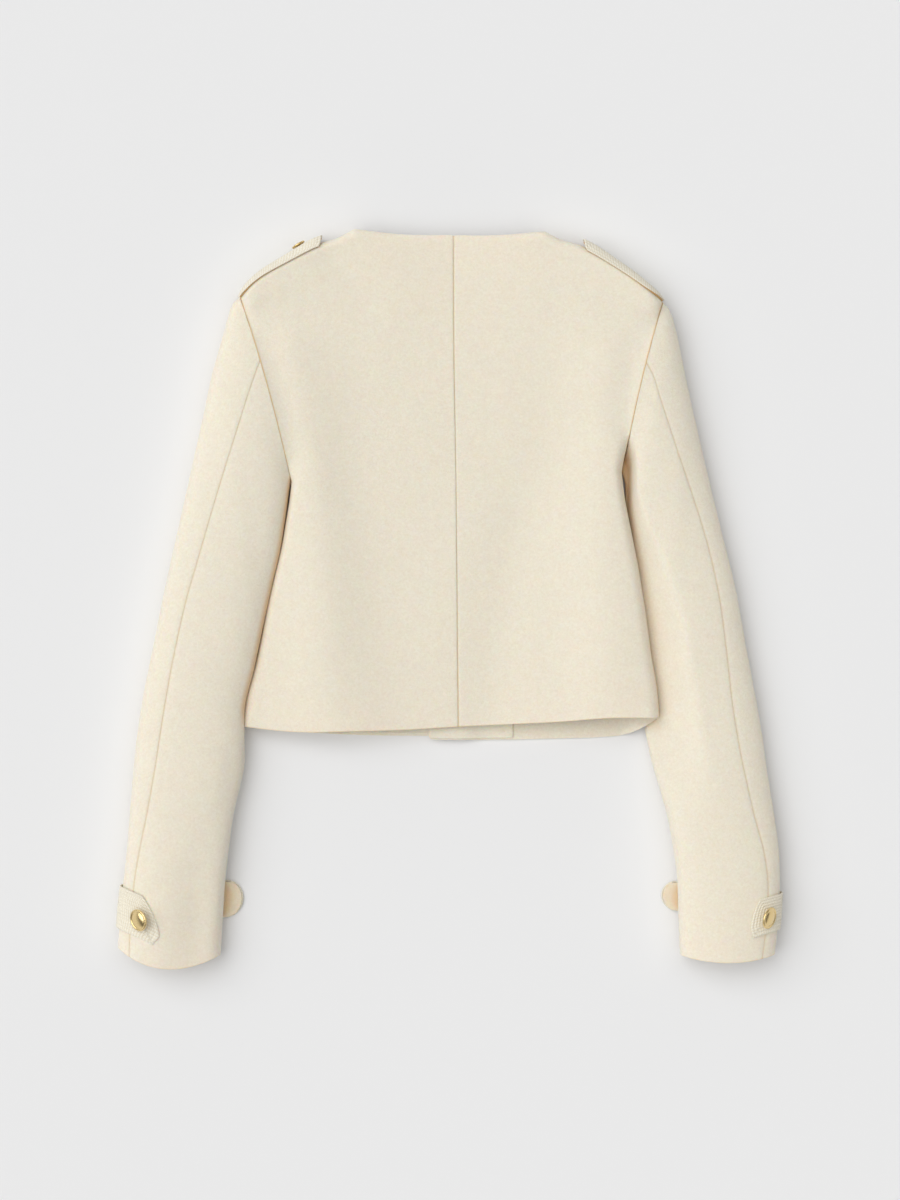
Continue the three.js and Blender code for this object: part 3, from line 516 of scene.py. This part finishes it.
def linear(hexed):
    """An sRGB hex colour as linear red, green, blue and alpha."""
    parts = [int(hexed[k:k + 2], 16) / 255 for k in (1, 3, 5)]
    return [p / 12.92 if p <= 0.04045 else ((p + 0.055) / 1.055) ** 2.4 for p in parts] + [1.0]


def add_node(tree, kind, settings=None, **links):
    """A node with its settings, and its inputs set to values or linked to other nodes' outputs."""
    node = tree.nodes.new(kind)
    for key, value in (settings or {}).items():
        setattr(node, key, value)
    for key, value in links.items():
        socket = node.inputs[int(key[1:])] if key[1:].isdigit() else node.inputs[key.replace("_", " ")]
        if isinstance(value, bpy.types.NodeSocket):
            tree.links.new(value, socket)
        else:
            socket.default_value = value
    return node


def new_material(name, slot):
    material = bpy.data.materials.new(name)
    material.use_nodes = True
    material["slot"] = slot
    material.node_tree.nodes.clear()
    return material, material.node_tree


def two_shades(tree, height, low, dark, high, light):
    """A ramp from the dark shade at the low height to the light one at the high height."""
    ramp = add_node(tree, "ShaderNodeValToRGB", Fac=height)
    for element, position, colour in zip(ramp.color_ramp.elements, (low, high), (dark, light)):
        element.position, element.color = position, linear(colour)
    return ramp.outputs["Color"]


def shade(tree, **inputs):
    """The material's one shader, and its output."""
    shader = add_node(tree, "ShaderNodeBsdfPrincipled", **inputs)
    add_node(tree, "ShaderNodeOutputMaterial", Surface=shader.outputs["BSDF"])


def per_mm(size):
    """A texture's scale, on coordinates in metres, for a pattern of that size in millimetres."""
    return 1000 / size


def felted_wool():
    """Melton: woven wool, milled until the threads close and brushed, so it is matt, with a short
    uneven nap that catches light at its edges. Tan is painted into its colour as shade in seams,
    creases and gaps and at cut edges, where those are shaded."""
    material, tree = new_material("felted ivory wool", "wool")
    where = add_node(tree, "ShaderNodeTexCoord").outputs["Object"]
    cloud = add_node(tree, "ShaderNodeTexNoise", Vector=where, Scale=per_mm(9), Detail=3.0,
                     Roughness=0.6).outputs["Fac"]
    nap = add_node(tree, "ShaderNodeTexNoise", Vector=where, Scale=per_mm(2.4), Detail=4.0,
                   Roughness=0.65, Distortion=0.6).outputs["Fac"]
    clouds = add_node(tree, "ShaderNodeMath", {"operation": "MULTIPLY"}, _0=cloud,
                      _1=1 - NAP_SHARE).outputs[0]
    mixed = add_node(tree, "ShaderNodeMath", {"operation": "MULTIPLY_ADD"}, _0=nap, _1=NAP_SHARE,
                     _2=clouds).outputs[0]
    shades = two_shades(tree, mixed, 0.34, WOOL_SHADE, 0.66, WOOL_LIGHT)
    fibre = add_node(tree, "ShaderNodeTexNoise", Vector=where, Scale=per_mm(1.3), Detail=3.0,
                     Roughness=0.7, Distortion=1.2).outputs["Fac"]
    height = add_node(tree, "ShaderNodeMath", {"operation": "ADD"}, _0=nap, _1=fibre).outputs[0]
    bump = add_node(tree, "ShaderNodeBump", Height=height, Strength=0.5, Distance=0.0006)
    # Tan painted shade, by the vertex attribute, in seams, creases, gaps and at cut edges, where shade
    # falls.
    painted_shade = add_node(tree, "ShaderNodeAttribute", {"attribute_name": "painted_shade"}).outputs["Fac"]
    colour = add_node(tree, "ShaderNodeMix", {"data_type": "RGBA", "clamp_factor": True}, _0=painted_shade,
                      _6=shades, _7=linear(WOOL_PAINTED_SHADE)).outputs[2]
    shade(tree, Base_Color=colour, Normal=bump.outputs["Normal"], Roughness=0.95, IOR=1.5,
          Specular_IOR_Level=0.25, Subsurface_Weight=0.35, Subsurface_Radius=(1.0, 0.5, 0.2),
          Subsurface_Scale=0.003, Sheen_Weight=0.18, Sheen_Roughness=0.6)
    return material


def corded_braid():
    """Braid: rows of plaited cotton cord sewn side by side, paler than the wool and a little
    smoother. The plait's strands cross each row at a slant, one way and then the other."""
    material, tree = new_material("plaited cotton braid", "braid")
    where = add_node(tree, "ShaderNodeUVMap", {"uv_map": "cloth"}).outputs["UV"]
    parts = add_node(tree, "ShaderNodeSeparateXYZ", Vector=where)
    run, away = parts.outputs["X"], parts.outputs["Y"]
    half_row = add_node(tree, "ShaderNodeMath", {"operation": "PINGPONG"}, _0=away,
                        _1=ROW_PITCH / 4).outputs[0]
    slant = add_node(tree, "ShaderNodeMath", {"operation": "MULTIPLY_ADD"}, _0=half_row,
                     _1=PLAIT_SLANT, _2=run).outputs[0]
    turned = add_node(tree, "ShaderNodeMath", {"operation": "MULTIPLY"}, _0=slant,
                      _1=2 * math.pi / PLAIT_PITCH).outputs[0]
    strand = add_node(tree, "ShaderNodeMath", {"operation": "SINE"}, _0=turned).outputs[0]
    object_where = add_node(tree, "ShaderNodeTexCoord").outputs["Object"]
    fluff = add_node(tree, "ShaderNodeTexNoise", Vector=object_where, Scale=per_mm(1.1), Detail=3.0,
                     Roughness=0.65).outputs["Fac"]
    height = add_node(tree, "ShaderNodeMath", {"operation": "MULTIPLY_ADD"}, _0=strand, _1=0.35,
                      _2=fluff).outputs[0]
    # The braid's colour follows the plait's height: it is darker where the strands dip, as painted
    # shade in the hollows between crossings, and it varies at random with the fluff.
    shades = two_shades(tree, height, 0.15, BRAID_SHADE, 0.75, BRAID_LIGHT)
    bump = add_node(tree, "ShaderNodeBump", Height=height, Strength=0.6, Distance=0.0005)
    shade(tree, Base_Color=shades, Normal=bump.outputs["Normal"], Roughness=0.85,
          Specular_IOR_Level=0.3, Sheen_Weight=0.15)
    return material


def gilt_brass():
    """Gilt: stamped brass with a thin polished gold plating, which is bright and a little soft in
    the hollows."""
    material, tree = new_material("gilt stamped brass", "gilt")
    where = add_node(tree, "ShaderNodeTexCoord").outputs["Object"]
    worn = add_node(tree, "ShaderNodeTexNoise", Vector=where, Scale=per_mm(2),
                    Detail=2.0).outputs["Fac"]
    bump = add_node(tree, "ShaderNodeBump", Height=worn, Strength=0.15, Distance=0.0004)
    shade(tree, Base_Color=linear(GILT_COLOUR), Metallic=1.0, Roughness=0.2,
          Normal=bump.outputs["Normal"])
    return material


def matt_paper():
    """Backdrop paper, smooth and matt."""
    material, tree = new_material("matt paper backdrop", "")
    shade(tree, Base_Color=linear(PAPER_COLOUR), Roughness=0.9)
    return material


WOOL, BRAID, GILT, PAPER = felted_wool(), corded_braid(), gilt_brass(), matt_paper()


# Body: backs over fronts, with the facings between them

def smoothed(heights, where, rounds=24):
    """Heights evened out along the panel, as thick cloth doesn't bend sharply."""
    for _ in range(rounds):
        even = (np.roll(heights, 1, axis=0) + 2 * heights + np.roll(heights, -1, axis=0)) / 4
        heights = lerp(heights, even, where)
    return heights


def body_panel(name):
    """One half of the back or the front, sunk along its seams, and painted with tan shade along them,
    at the hem and in its side fold, where it shows.
    """
    panel = PANELS[name]
    mirrored = -1 if panel["name"] == "left" else 1
    is_back = panel["is_back"]
    side = mirrored if is_back else -mirrored
    width = panel_width(panel)
    side_roll = (BACK_SIDE_ROLL if is_back else FRONT_SIDE_ROLL) / width
    shoulder_roll = SHOULDER_ROLL / BODY_LENGTH
    us = np.unique(np.concatenate([
        [2 / width, 4 / width], np.linspace(0, 1 - side_roll, int(width / CLOTH_STEP)),
        roll_steps(side_roll, 12)]))
    vs = np.unique(np.concatenate([
        [0.003, 0.007], np.linspace(0, 1 - shoulder_roll, int(BODY_LENGTH / CLOTH_STEP)),
        roll_steps(shoulder_roll, 12)]))
    u, v = np.meshgrid(us, vs)
    points = panel_point(panel, u, v)
    lift, painted_shade = np.zeros_like(u), np.zeros_like(u)
    if is_back:
        points[..., 2] = smoothed(points[..., 2], smooth(0.93, 0.88, v) * smooth(0.02, 0.07, v)
                                  * smooth(1, 0.93, u))
        points[..., 0] += mirrored * SEAM / 2 * (1 - u)
        from_centre = u * width
        from_armhole = (1 - u) * width
        from_hem = v * BODY_LENGTH
        beside_sleeve = smooth(UNDERARM_V, UNDERARM_V + 0.03, v)
        lift += groove(from_centre) + puckers("centre back", from_hem, from_centre)
        lift += puckers("armhole", from_hem, from_armhole) * beside_sleeve
        lift += unevenness(name, points) * smooth(0, 25, from_armhole)
        # Tan painted shade along the centre seam, the armhole and the hem, and where the side rolls
        # down into its shaded fold below the underarm.
        above_side = points[..., 2] - side_edge(panel["name"], True, v)[..., 2]
        side_fold_shade = (1 - smooth(0, 7, above_side)) * smooth(0.9, 0.97, u)
        painted_shade = edge_shade("centre back", from_centre) + edge_shade("armhole", from_armhole) * beside_sleeve
        painted_shade += side_fold_shade * smooth(UNDERARM_V, UNDERARM_V - 0.05, v) + edge_shade("hem", from_hem)
    finish_cloth(name, points, side, WALL, WOOL, lift, painted_shade)


# How far across its front each facing reaches, and where it begins and ends on it
FACING_TO = {"front_left": 0.46, "front_right": 0.368}
FACING_INSET = {"edge": 0.012, "hem": 0.006, "neck": 0.94}


def facing(front_name):
    """The thinner cloth that lines a front's edge, on its inner face."""
    panel = PANELS[front_name]
    side = 1 if panel["name"] == "left" else -1
    us = np.linspace(FACING_INSET["edge"], FACING_TO[front_name],
                     int(0.4 * panel_width(panel) / CLOTH_STEP))
    vs = np.linspace(FACING_INSET["hem"], FACING_INSET["neck"], int(BODY_LENGTH / CLOTH_STEP))
    u, v = np.meshgrid(us, vs)
    points = panel_point(panel, u, v)
    lift = np.full_like(u, -(WALL + LAY))
    name = front_name.replace("front", "facing")
    finish_cloth(name, points, side, FACING_WALL, WOOL, lift)


# Sleeves, each an upper and an under sleeve

FRONT_SEAM_ANGLE = math.pi + 0.5
HEAD_ROUND = 180          # the armhole's length over the top
POINTS_AROUND = {"under": 56, "upper": 72}
# Where the sleeves' tan painted shade beside the body, in the body's shade, begins and is full, as
# shares of their width
SHADE_BESIDE_BODY = {"left": (0.95, 0.995), "right": (0.84, 0.93)}

# Where a crease lies along the sleeve and across it, how it slants, its widths and its height
SLEEVE_CREASES = {
    "left": [
        (0.62, 0.86, 0.10, 0.035, 0.20, 1.6), (0.665, 0.90, 0.06, 0.022, 0.16, -1.6),
        (0.71, 0.93, 0.0, 0.05, 0.10, -1.4), (0.875, 0.45, -0.05, 0.012, 0.30, -0.9),
        (0.30, 0.55, 0.30, 0.06, 0.35, 1.0), (0.45, 0.75, 0.20, 0.05, 0.25, 0.8),
        (0.95, 0.32, 0.0, 0.10, 0.20, 2.0), (0.93, 0.78, 0.0, 0.12, 0.22, -5.0)],
    "right": [
        (0.60, 0.85, 0.10, 0.035, 0.18, 0.9), (0.655, 0.88, 0.05, 0.024, 0.16, -1.3),
        (0.88, 0.5, -0.04, 0.014, 0.30, -0.6),
        (0.32, 0.45, 0.30, 0.06, 0.30, 0.9), (0.48, 0.60, 0.18, 0.05, 0.25, 0.6)]}


def sleeve_creases(name, t, share):
    lift = np.zeros_like(t)
    for at_t, at_share, slant, wide_t, wide_share, high in SLEEVE_CREASES[name]:
        across = share - at_share
        lift += high * bell(t - at_t - slant * across, wide_t) * bell(across, wide_share)
    return lift


def sleeve_piece(name, part):
    """The under sleeve runs from the back seam over the top and round the inner fold, and the upper
    one goes on from there, below it and round the outer fold."""
    sleeve = SIDES[name]["sleeve"]
    side = -1 if name == "left" else 1
    u, t = np.meshgrid(close_steps(POINTS_AROUND[part], 0.02),
                       close_steps(int(SLEEVE_LENGTH / CLOTH_STEP), 0.004))
    back_seam = np.arccos(1 - 2 * along(sleeve["seam"], t))
    front_seam = FRONT_SEAM_ANGLE + 0 * t

    def half_gap(angle):
        d = 1e-3
        step = sleeve_point(sleeve, t, angle + d) - sleeve_point(sleeve, t, angle - d)
        return SEAM / 2 / (np.linalg.norm(step, axis=-1) / (2 * d))

    start, end = (back_seam, front_seam) if part == "under" else (front_seam, 2 * np.pi + back_seam)
    angle = lerp(start + half_gap(start), end - half_gap(end), u)
    points = sleeve_point(sleeve, t, angle)
    steps = np.linalg.norm(np.diff(points, axis=1), axis=-1)
    length = np.concatenate([np.zeros_like(u[:, :1]), np.cumsum(steps, axis=1)], axis=1)
    from_seam = length if part == "under" else length[:, -1:] - length
    from_head, from_cuff = t * SLEEVE_LENGTH, (1 - t) * SLEEVE_LENGTH
    share = 0.5 - 0.5 * np.cos(angle)
    on_top = np.sin(angle) > 0
    lift = 0.7 * groove(from_seam) + puckers("sleeve seam", from_head, from_seam)
    lift += puckers("sleeve head", share * HEAD_ROUND, from_head) * on_top
    lift += sleeve_creases(name, t, share) * on_top
    lift += unevenness(f"sleeve_{name}", points) * (np.sin(angle) > 0.3)
    # Tan painted shade where the body shades the sleeve, and along its seams, its head and the cuff's
    # edge.
    shade_beside_body = 0.6 * smooth(*SHADE_BESIDE_BODY[name], share) * (1 - smooth(0.57, 0.63, t))
    painted_shade = (edge_shade("sleeve seam", from_seam) + edge_shade("sleeve head", from_head) + shade_beside_body
              + edge_shade("cuff", from_cuff))
    finish_cloth(f"sleeve_{part}_{name}", points, side, WALL, WOOL, lift, painted_shade)


# Epaulettes and cuff straps, with their braid

STRAP_WIDTH = 36          # the rows of cord are laid out on this width
BRAID_RIDGE = 0.6         # height of the rounded rows of cord
CLOTH_INSET = 1.4         # the braid hides the cut edges of the cloth under it
EPAULETTE_LENGTH = 88
EPAULETTE_FROM = {"left": 0.31, "right": 0.34}   # shares of the shoulder, from the neck
EPAULETTE_TO = 0.985
EPAULETTE_SPLIT = 0.42    # share of its width that lies on the back
EPAULETTE_LOW = 1.2       # its lower edge hangs this high over the floor
EPAULETTE_ROUND = 0.07    # its free end's bow
# Where a button is on its strap: u along it and v across it, both from 0 to 1
EPAULETTE_BUTTON = {"radius": 6.5, "shank": 0.5, "u": 0.24, "v": 0.5}
# Where the strap begins on the shoulder's roll, from its neck end to the sleeve: the sine of the
# angle there, which is 1 at the shoulder seam
EPAULETTE_TOP = table("left right", [
    (0.38, 0.34), (0.30, 0.25), (0.32, 0.24), (0.38, 0.38), (0.58, 0.88)])
EPAULETTE_STAND = (3.6, 1.2)   # it stands off the seam, most at its free end


def epaulette_path(name):
    """A function for the points of an epaulette, u from its free end to the sleeve, v from the back
    over the shoulder, and out from the cloth below."""
    panel = PANELS[f"back_{name}"]
    side = -1 if name == "left" else 1
    roll_share = SHOULDER_ROLL / BODY_LENGTH

    def path(u, v, out):
        rounding = EPAULETTE_ROUND * (1 - np.sqrt(1 - 0.9 * (2 * v - 1) ** 2))
        on_shoulder = lerp(EPAULETTE_FROM[name] + rounding, EPAULETTE_TO, u)
        panel_u = lerp(NECK_U, 1, on_shoulder)
        begins = np.arcsin(along(EPAULETTE_TOP[name], u))
        angle = lerp(begins, math.pi / 2, np.minimum(v / EPAULETTE_SPLIT, 1))
        panel_v = np.minimum(1 - roll_share * (1 - np.sin(angle)), 1 - 1e-5)
        d = 1e-3
        across = panel_point(panel, panel_u + d, panel_v) - panel_point(panel, panel_u - d, panel_v)
        up = (panel_point(panel, panel_u, np.minimum(panel_v + d, 1))
              - panel_point(panel, panel_u, panel_v - d))
        normal = side * np.cross(across, up)
        normal /= np.linalg.norm(normal, axis=-1, keepdims=True)
        stand = lerp(*EPAULETTE_STAND, smooth(0, 0.45, u)) * smooth(0, 0.8 * EPAULETTE_SPLIT, v)
        stand *= smooth(1, 0.88, u)
        point = panel_point(panel, panel_u, panel_v) + normal * (out + stand)[..., None]
        down = np.maximum(0, (v - EPAULETTE_SPLIT) / (1 - EPAULETTE_SPLIT))
        point[..., 2] = lerp(point[..., 2], EPAULETTE_LOW, down)
        return point
    return path


# Cuff straps: where each crosses its sleeve, its width, how far its tab falls towards the cuff and
# the rest rises, the outline of its tab, how far its other end comes out past the inner fold, and
# where its button is and how it leans
CUFF_STRAPS = {
    "left": {"middle": 0.9225, "width": 36, "slant": 30, "rise": 7, "tab_end": 0.425,
             "upper_cut": 0.20, "lower_cut": 0.06, "knob_out": 0.185, "button_share": 0.275,
             "lean": 0.6},
    "right": {"middle": 0.9266, "width": 29, "slant": 19, "rise": 10, "tab_end": 0.305,
              "upper_cut": 0.085, "lower_cut": 0.03, "knob_out": 0.155, "button_share": 0.185,
              "lean": 0.9}}
CUFF_STRAP_LENGTH = 165
CUFF_PACE = 480           # length of sleeve to one unit of t, near the cuff
TAB_U = 0.3               # the tab ends and the strap goes round the outer fold from here
FOLD_U, FOLD_ANGLE = 0.44, 0.75   # and from here it is straight, under the sleeve
KNOB_FROM = 0.915         # from here on its other end shows past the sleeve
KNOB_WIDTH = 0.85
CUFF_BUTTON = {"radius": 10, "shank": 3.4, "v": 0.52}


def cuff_path(name):
    """A function for the points of a cuff strap, u from its tab round the outer fold and under the
    sleeve, v towards the cuff, and out from the sleeve."""
    strap, sleeve = CUFF_STRAPS[name], SIDES[name]["sleeve"]
    side = 1 if name == "left" else -1
    first = 0.5 - 0.5 * math.cos(FOLD_ANGLE)

    def path(u, v, out):
        tab_end = (strap["tab_end"] - strap["upper_cut"] * (1 - v) ** 2.4
                   - strap["lower_cut"] * smooth(0.7, 1, v))
        across = (v - 0.5) * strap["width"] / CUFF_PACE
        angle = np.where(
            u < TAB_U, lerp(np.arccos(1 - 2 * tab_end), 0, u / TAB_U),
            -FOLD_ANGLE * clamp((u - TAB_U) / (FOLD_U - TAB_U), 0, 1) ** 2)
        share = 0.5 - 0.5 * np.cos(angle)
        straight = strap["middle"] + across
        bow = along(sleeve["bow"], straight) * 4 * share * (1 - share)
        t = straight + (np.where(angle > 0, strap["slant"] * share, 0) - bow) / CUFF_PACE
        d = 1e-3
        around = sleeve_point(sleeve, t, angle + d) - sleeve_point(sleeve, t, angle - d)
        down = sleeve_point(sleeve, t + d, angle) - sleeve_point(sleeve, t - d, angle)
        normal = -side * np.cross(around, down)
        normal /= np.linalg.norm(normal, axis=-1, keepdims=True)
        wrapped = sleeve_point(sleeve, t, angle) + normal * out
        f = clamp((u - FOLD_U) / (1 - FOLD_U), 0, 1)
        knob = strap["knob_out"] * np.sqrt(1 - 0.97 * (2 * v - 1) ** 2)
        share = lerp(first, 1 + knob, f)
        t = strap["middle"] + across * lerp(1, KNOB_WIDTH, f) - f * strap["rise"] / CUFF_PACE
        at = {key: along(sleeve[key], t) for key in ("ox", "oy", "ix", "iy")}
        under = np.stack([lerp(at["ox"], at["ix"], share), lerp(at["oy"], at["iy"], share),
                          STRAP_LIFT - out + 0 * share], axis=-1)
        return np.where((u < FOLD_U)[..., None], wrapped, under)
    return path


def row_height(away):
    """Rows of round cord side by side, ring within ring, at a distance from the outline."""
    return BRAID_RIDGE * np.abs(np.sin(np.pi * away / ROW_PITCH)) ** 0.7


def add_strap(node, path, length, side, round_end, us):
    """A strap's cloth and the braid over it. Its far end is round, or else sewn into a seam."""
    cloth_out = SEAM + STRAP_WALL
    braid_out = cloth_out + SEAM + BRAID_WALL
    inset_u, inset_v = CLOTH_INSET / length, CLOTH_INSET / STRAP_WIDTH
    cloth_us = lerp(inset_u, 1 - inset_u if round_end else 1, np.unique(np.append(us[::2], 1)))
    u, v = np.meshgrid(cloth_us, np.linspace(inset_v, 1 - inset_v, 15))
    # The strap's cloth is painted tan as shade: all of an epaulette's, which shows only as the shaded
    # edge under its braid, and a cuff strap's round its knob, where the sleeve shades it, and a little
    # over the rest.
    painted_shade = 0.2 + 0.35 * bell(u - KNOB_FROM, 0.03) if round_end else 0.9 + 0 * u
    finish_cloth(node, path(u, v, cloth_out), side, STRAP_WALL, WOOL, painted_shade=painted_shade)
    u, v = np.meshgrid(us, np.linspace(0, 1, 85))
    from_end = np.minimum(u, 1 - u) * length if round_end else u * length
    from_side = np.minimum(v, 1 - v) * STRAP_WIDTH
    away = np.minimum(from_end, from_side)
    run = np.where(from_end < from_side, v * STRAP_WIDTH, u * length)
    braid = node.replace("_", "_braid_", 1).replace("_strap", "")
    finish_cloth(braid, path(u, v, braid_out), side, BRAID_WALL, BRAID, row_height(away),
                         uvs=np.stack([run, away], axis=-1), edge=0.4)
    return braid_out


# Metal shank buttons: a low dome in a rope-edged rim, on a shank. Radii and heights over the shank
# are shares of the button's radius.
SHANK_RADIUS = 0.26
BUTTON_PROFILE = [(SHANK_RADIUS, 0), (0.80, 0.01), (0.92, 0.05), (0.985, 0.10), (1.0, 0.16),
                  (0.985, 0.215), (0.93, 0.255), (0.86, 0.25), (0.81, 0.21), (0.76, 0.205),
                  (0.70, 0.255), (0.62, 0.295), (0.50, 0.335), (0.36, 0.365), (0.20, 0.385),
                  (0, 0.395)]
BUTTON_CLEAR = 1.5        # a leaning button's shank has its foot clear of the braid
LEAN_DOWN = 0.35          # a cuff button leans out from the sleeve, and a little to the cuff
BUTTON_SEGMENTS = 96
RIM_MIDDLE, RIM_WIDE = 0.93, 0.05
ROPE_TURNS = 30           # twists of the rope round the rim, their height and their slant
ROPE_HIGH = 0.025
ROPE_SLANT = 1.4


def add_button(node, radius, shank, lean, path, u, v, out, side):
    """A button on a strap's braid at u and v. Lean is how far its axis is turned towards +X."""
    d = 1e-3
    points = path(*np.meshgrid(np.array([u - d, u + d]), np.array([v - d, v + d])), out)
    across, up = points[0, 1] - points[0, 0], points[1, 0] - points[0, 0]
    normal = Vector(side * np.cross(across, up)).normalized()
    foot = Vector(points.mean(axis=(0, 1))) + normal * (BRAID_RIDGE + (BUTTON_CLEAR if lean else LAY))
    axis = (normal + Vector((lean, -abs(lean) * LEAN_DOWN, 0))).normalized()
    button = bmesh.new()
    outline = [(0, 0), (SHANK_RADIUS * radius, 0)]
    outline += [(r * radius, shank + h * radius) for r, h in BUTTON_PROFILE]
    profile = [button.verts.new((r, 0, h)) for r, h in outline]
    edges = [button.edges.new(pair) for pair in zip(profile, profile[1:])]
    bmesh.ops.spin(button, geom=profile + edges, cent=(0, 0, 0), axis=(0, 0, 1),
                   angle=2 * math.pi, steps=BUTTON_SEGMENTS, use_merge=True)
    bmesh.ops.remove_doubles(button, verts=button.verts, dist=1e-4)
    bmesh.ops.recalc_face_normals(button, faces=button.faces)
    for vert in button.verts:
        place = vert.co.to_2d().length / radius
        turn = math.atan2(vert.co.y, vert.co.x)
        twist = math.sin(ROPE_TURNS * (turn + ROPE_SLANT * place))
        vert.co.z += ROPE_HIGH * radius * bell(place - RIM_MIDDLE, RIM_WIDE) * twist
    to_place = (Matrix.Translation(foot * MM)
                @ Vector((0, 0, 1)).rotation_difference(axis).to_matrix().to_4x4()
                @ Matrix.Scale(MM, 4))
    bmesh.ops.transform(button, matrix=to_place, verts=button.verts)
    for face in button.faces:
        face.smooth = True
    piece = new_piece(node, button)
    piece.data.materials.append(GILT)
    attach(piece, "root")
    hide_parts(node)


def epaulette(name):
    """A shoulder's strap, braided, with the one button that shows."""
    side = -1 if name == "left" else 1
    path = epaulette_path(name)
    us = np.unique(np.concatenate([np.linspace(0, 0.22, 40), np.linspace(0.22, 1, 60)]))
    out = add_strap(f"epaulette_{name}", path, EPAULETTE_LENGTH, side, False, us)
    if name == "left":
        add_button("epaulette_button_left", lean=0, path=path, out=out, side=side,
                   **EPAULETTE_BUTTON)


def cuff_strap(name):
    """The strap round a sleeve's end, braided, with its button on the tab."""
    side = 1 if name == "left" else -1
    path = cuff_path(name)
    strap = CUFF_STRAPS[name]
    us = np.unique(np.concatenate([
        np.linspace(0, 0.13, 44), np.linspace(0.13, TAB_U, 30), np.linspace(TAB_U, FOLD_U, 24),
        np.linspace(FOLD_U, 0.9, 24), np.linspace(0.9, 1, 32)]))
    out = add_strap(f"cuff_strap_{name}", path, CUFF_STRAP_LENGTH, side, True, us)
    button_u = TAB_U * (1 - math.acos(1 - 2 * strap["button_share"])
                        / math.acos(1 - 2 * strap["tab_end"]))
    add_button(f"cuff_button_{name}", lean=-strap["lean"] * side, path=path, u=button_u, out=out,
               side=side, **CUFF_BUTTON)


# The backdrop, and the pieces on it

PAPER_HALF = 12.0         # metres
PAPER_UNDER = 0.0002

backdrop = bmesh.new()
bmesh.ops.create_grid(backdrop, x_segments=1, y_segments=1, size=PAPER_HALF)
bmesh.ops.translate(backdrop, verts=backdrop.verts, vec=(0, 0, -PAPER_UNDER))
floor = new_piece("floor", backdrop)
floor.data.materials.append(PAPER)

for panel_name in PANELS:
    body_panel(panel_name)
for front in FACING_TO:
    facing(front)
for sleeve_side in SIDES:
    for part in ("under", "upper"):
        sleeve_piece(sleeve_side, part)
    epaulette(sleeve_side)
    cuff_strap(sleeve_side)


# Light and camera

# The studio's light by the sine of its height: pale walls round a dimmer ceiling
WALLS_LIGHT, CEILING_LIGHT, CEILING_FROM = 0.80, 0.20, 0.4

world = bpy.data.worlds.new("studio")
bpy.context.scene.world = world
world.use_nodes = True
facing_way = add_node(world.node_tree, "ShaderNodeTexCoord").outputs["Generated"]
upwards = add_node(world.node_tree, "ShaderNodeSeparateXYZ", Vector=facing_way).outputs["Z"]
studio_light = add_node(world.node_tree, "ShaderNodeMapRange", {"interpolation_type": "SMOOTHSTEP"},
                        Value=upwards, From_Min=0.0, From_Max=CEILING_FROM, To_Min=WALLS_LIGHT,
                        To_Max=CEILING_LIGHT).outputs["Result"]
background = world.node_tree.nodes["Background"]
background.inputs["Color"].default_value = (1, 1, 1, 1)
world.node_tree.links.new(studio_light, background.inputs["Strength"])


def soft_light(name, turn, high, spread, strength):
    """A large soft source far away: its direction and height in degrees, and how wide it looks."""
    light = bpy.data.lights.new(name, "SUN")
    light.angle = math.radians(spread)
    light.energy = strength
    lamp = bpy.data.objects.new(name, light)
    turn, high = math.radians(turn), math.radians(high)
    towards = Vector((math.cos(turn) * math.cos(high), math.sin(turn) * math.cos(high),
                      math.sin(high)))
    lamp.rotation_euler = towards.to_track_quat("Z", "Y").to_euler()
    bpy.context.scene.collection.objects.link(lamp)


soft_light("window", turn=160, high=52, spread=65, strength=1.55)
soft_light("overhead", turn=0, high=90, spread=90, strength=1.12)

PX = 0.9 * MM             # one pixel of the 900 by 1200 picture, at the jacket
PICTURE_ROWS = 1200
PICTURE_CENTRE = (1.5 * PX, -1.0 * PX)
SCALE_HEIGHT = 20 * MM    # a pixel has this size at this height

camera = bpy.data.cameras.new("camera")
camera.lens = 90
camera.sensor_width = 36
viewpoint = bpy.data.objects.new("camera", camera)
viewpoint.location = (*PICTURE_CENTRE,
                      PICTURE_ROWS * PX * camera.lens / camera.sensor_width + SCALE_HEIGHT)
bpy.context.scene.collection.objects.link(viewpoint)
bpy.context.scene.camera = viewpoint
bpy.context.scene.view_settings.view_transform = "Standard"
bpy.context.scene.view_settings.look = "None"
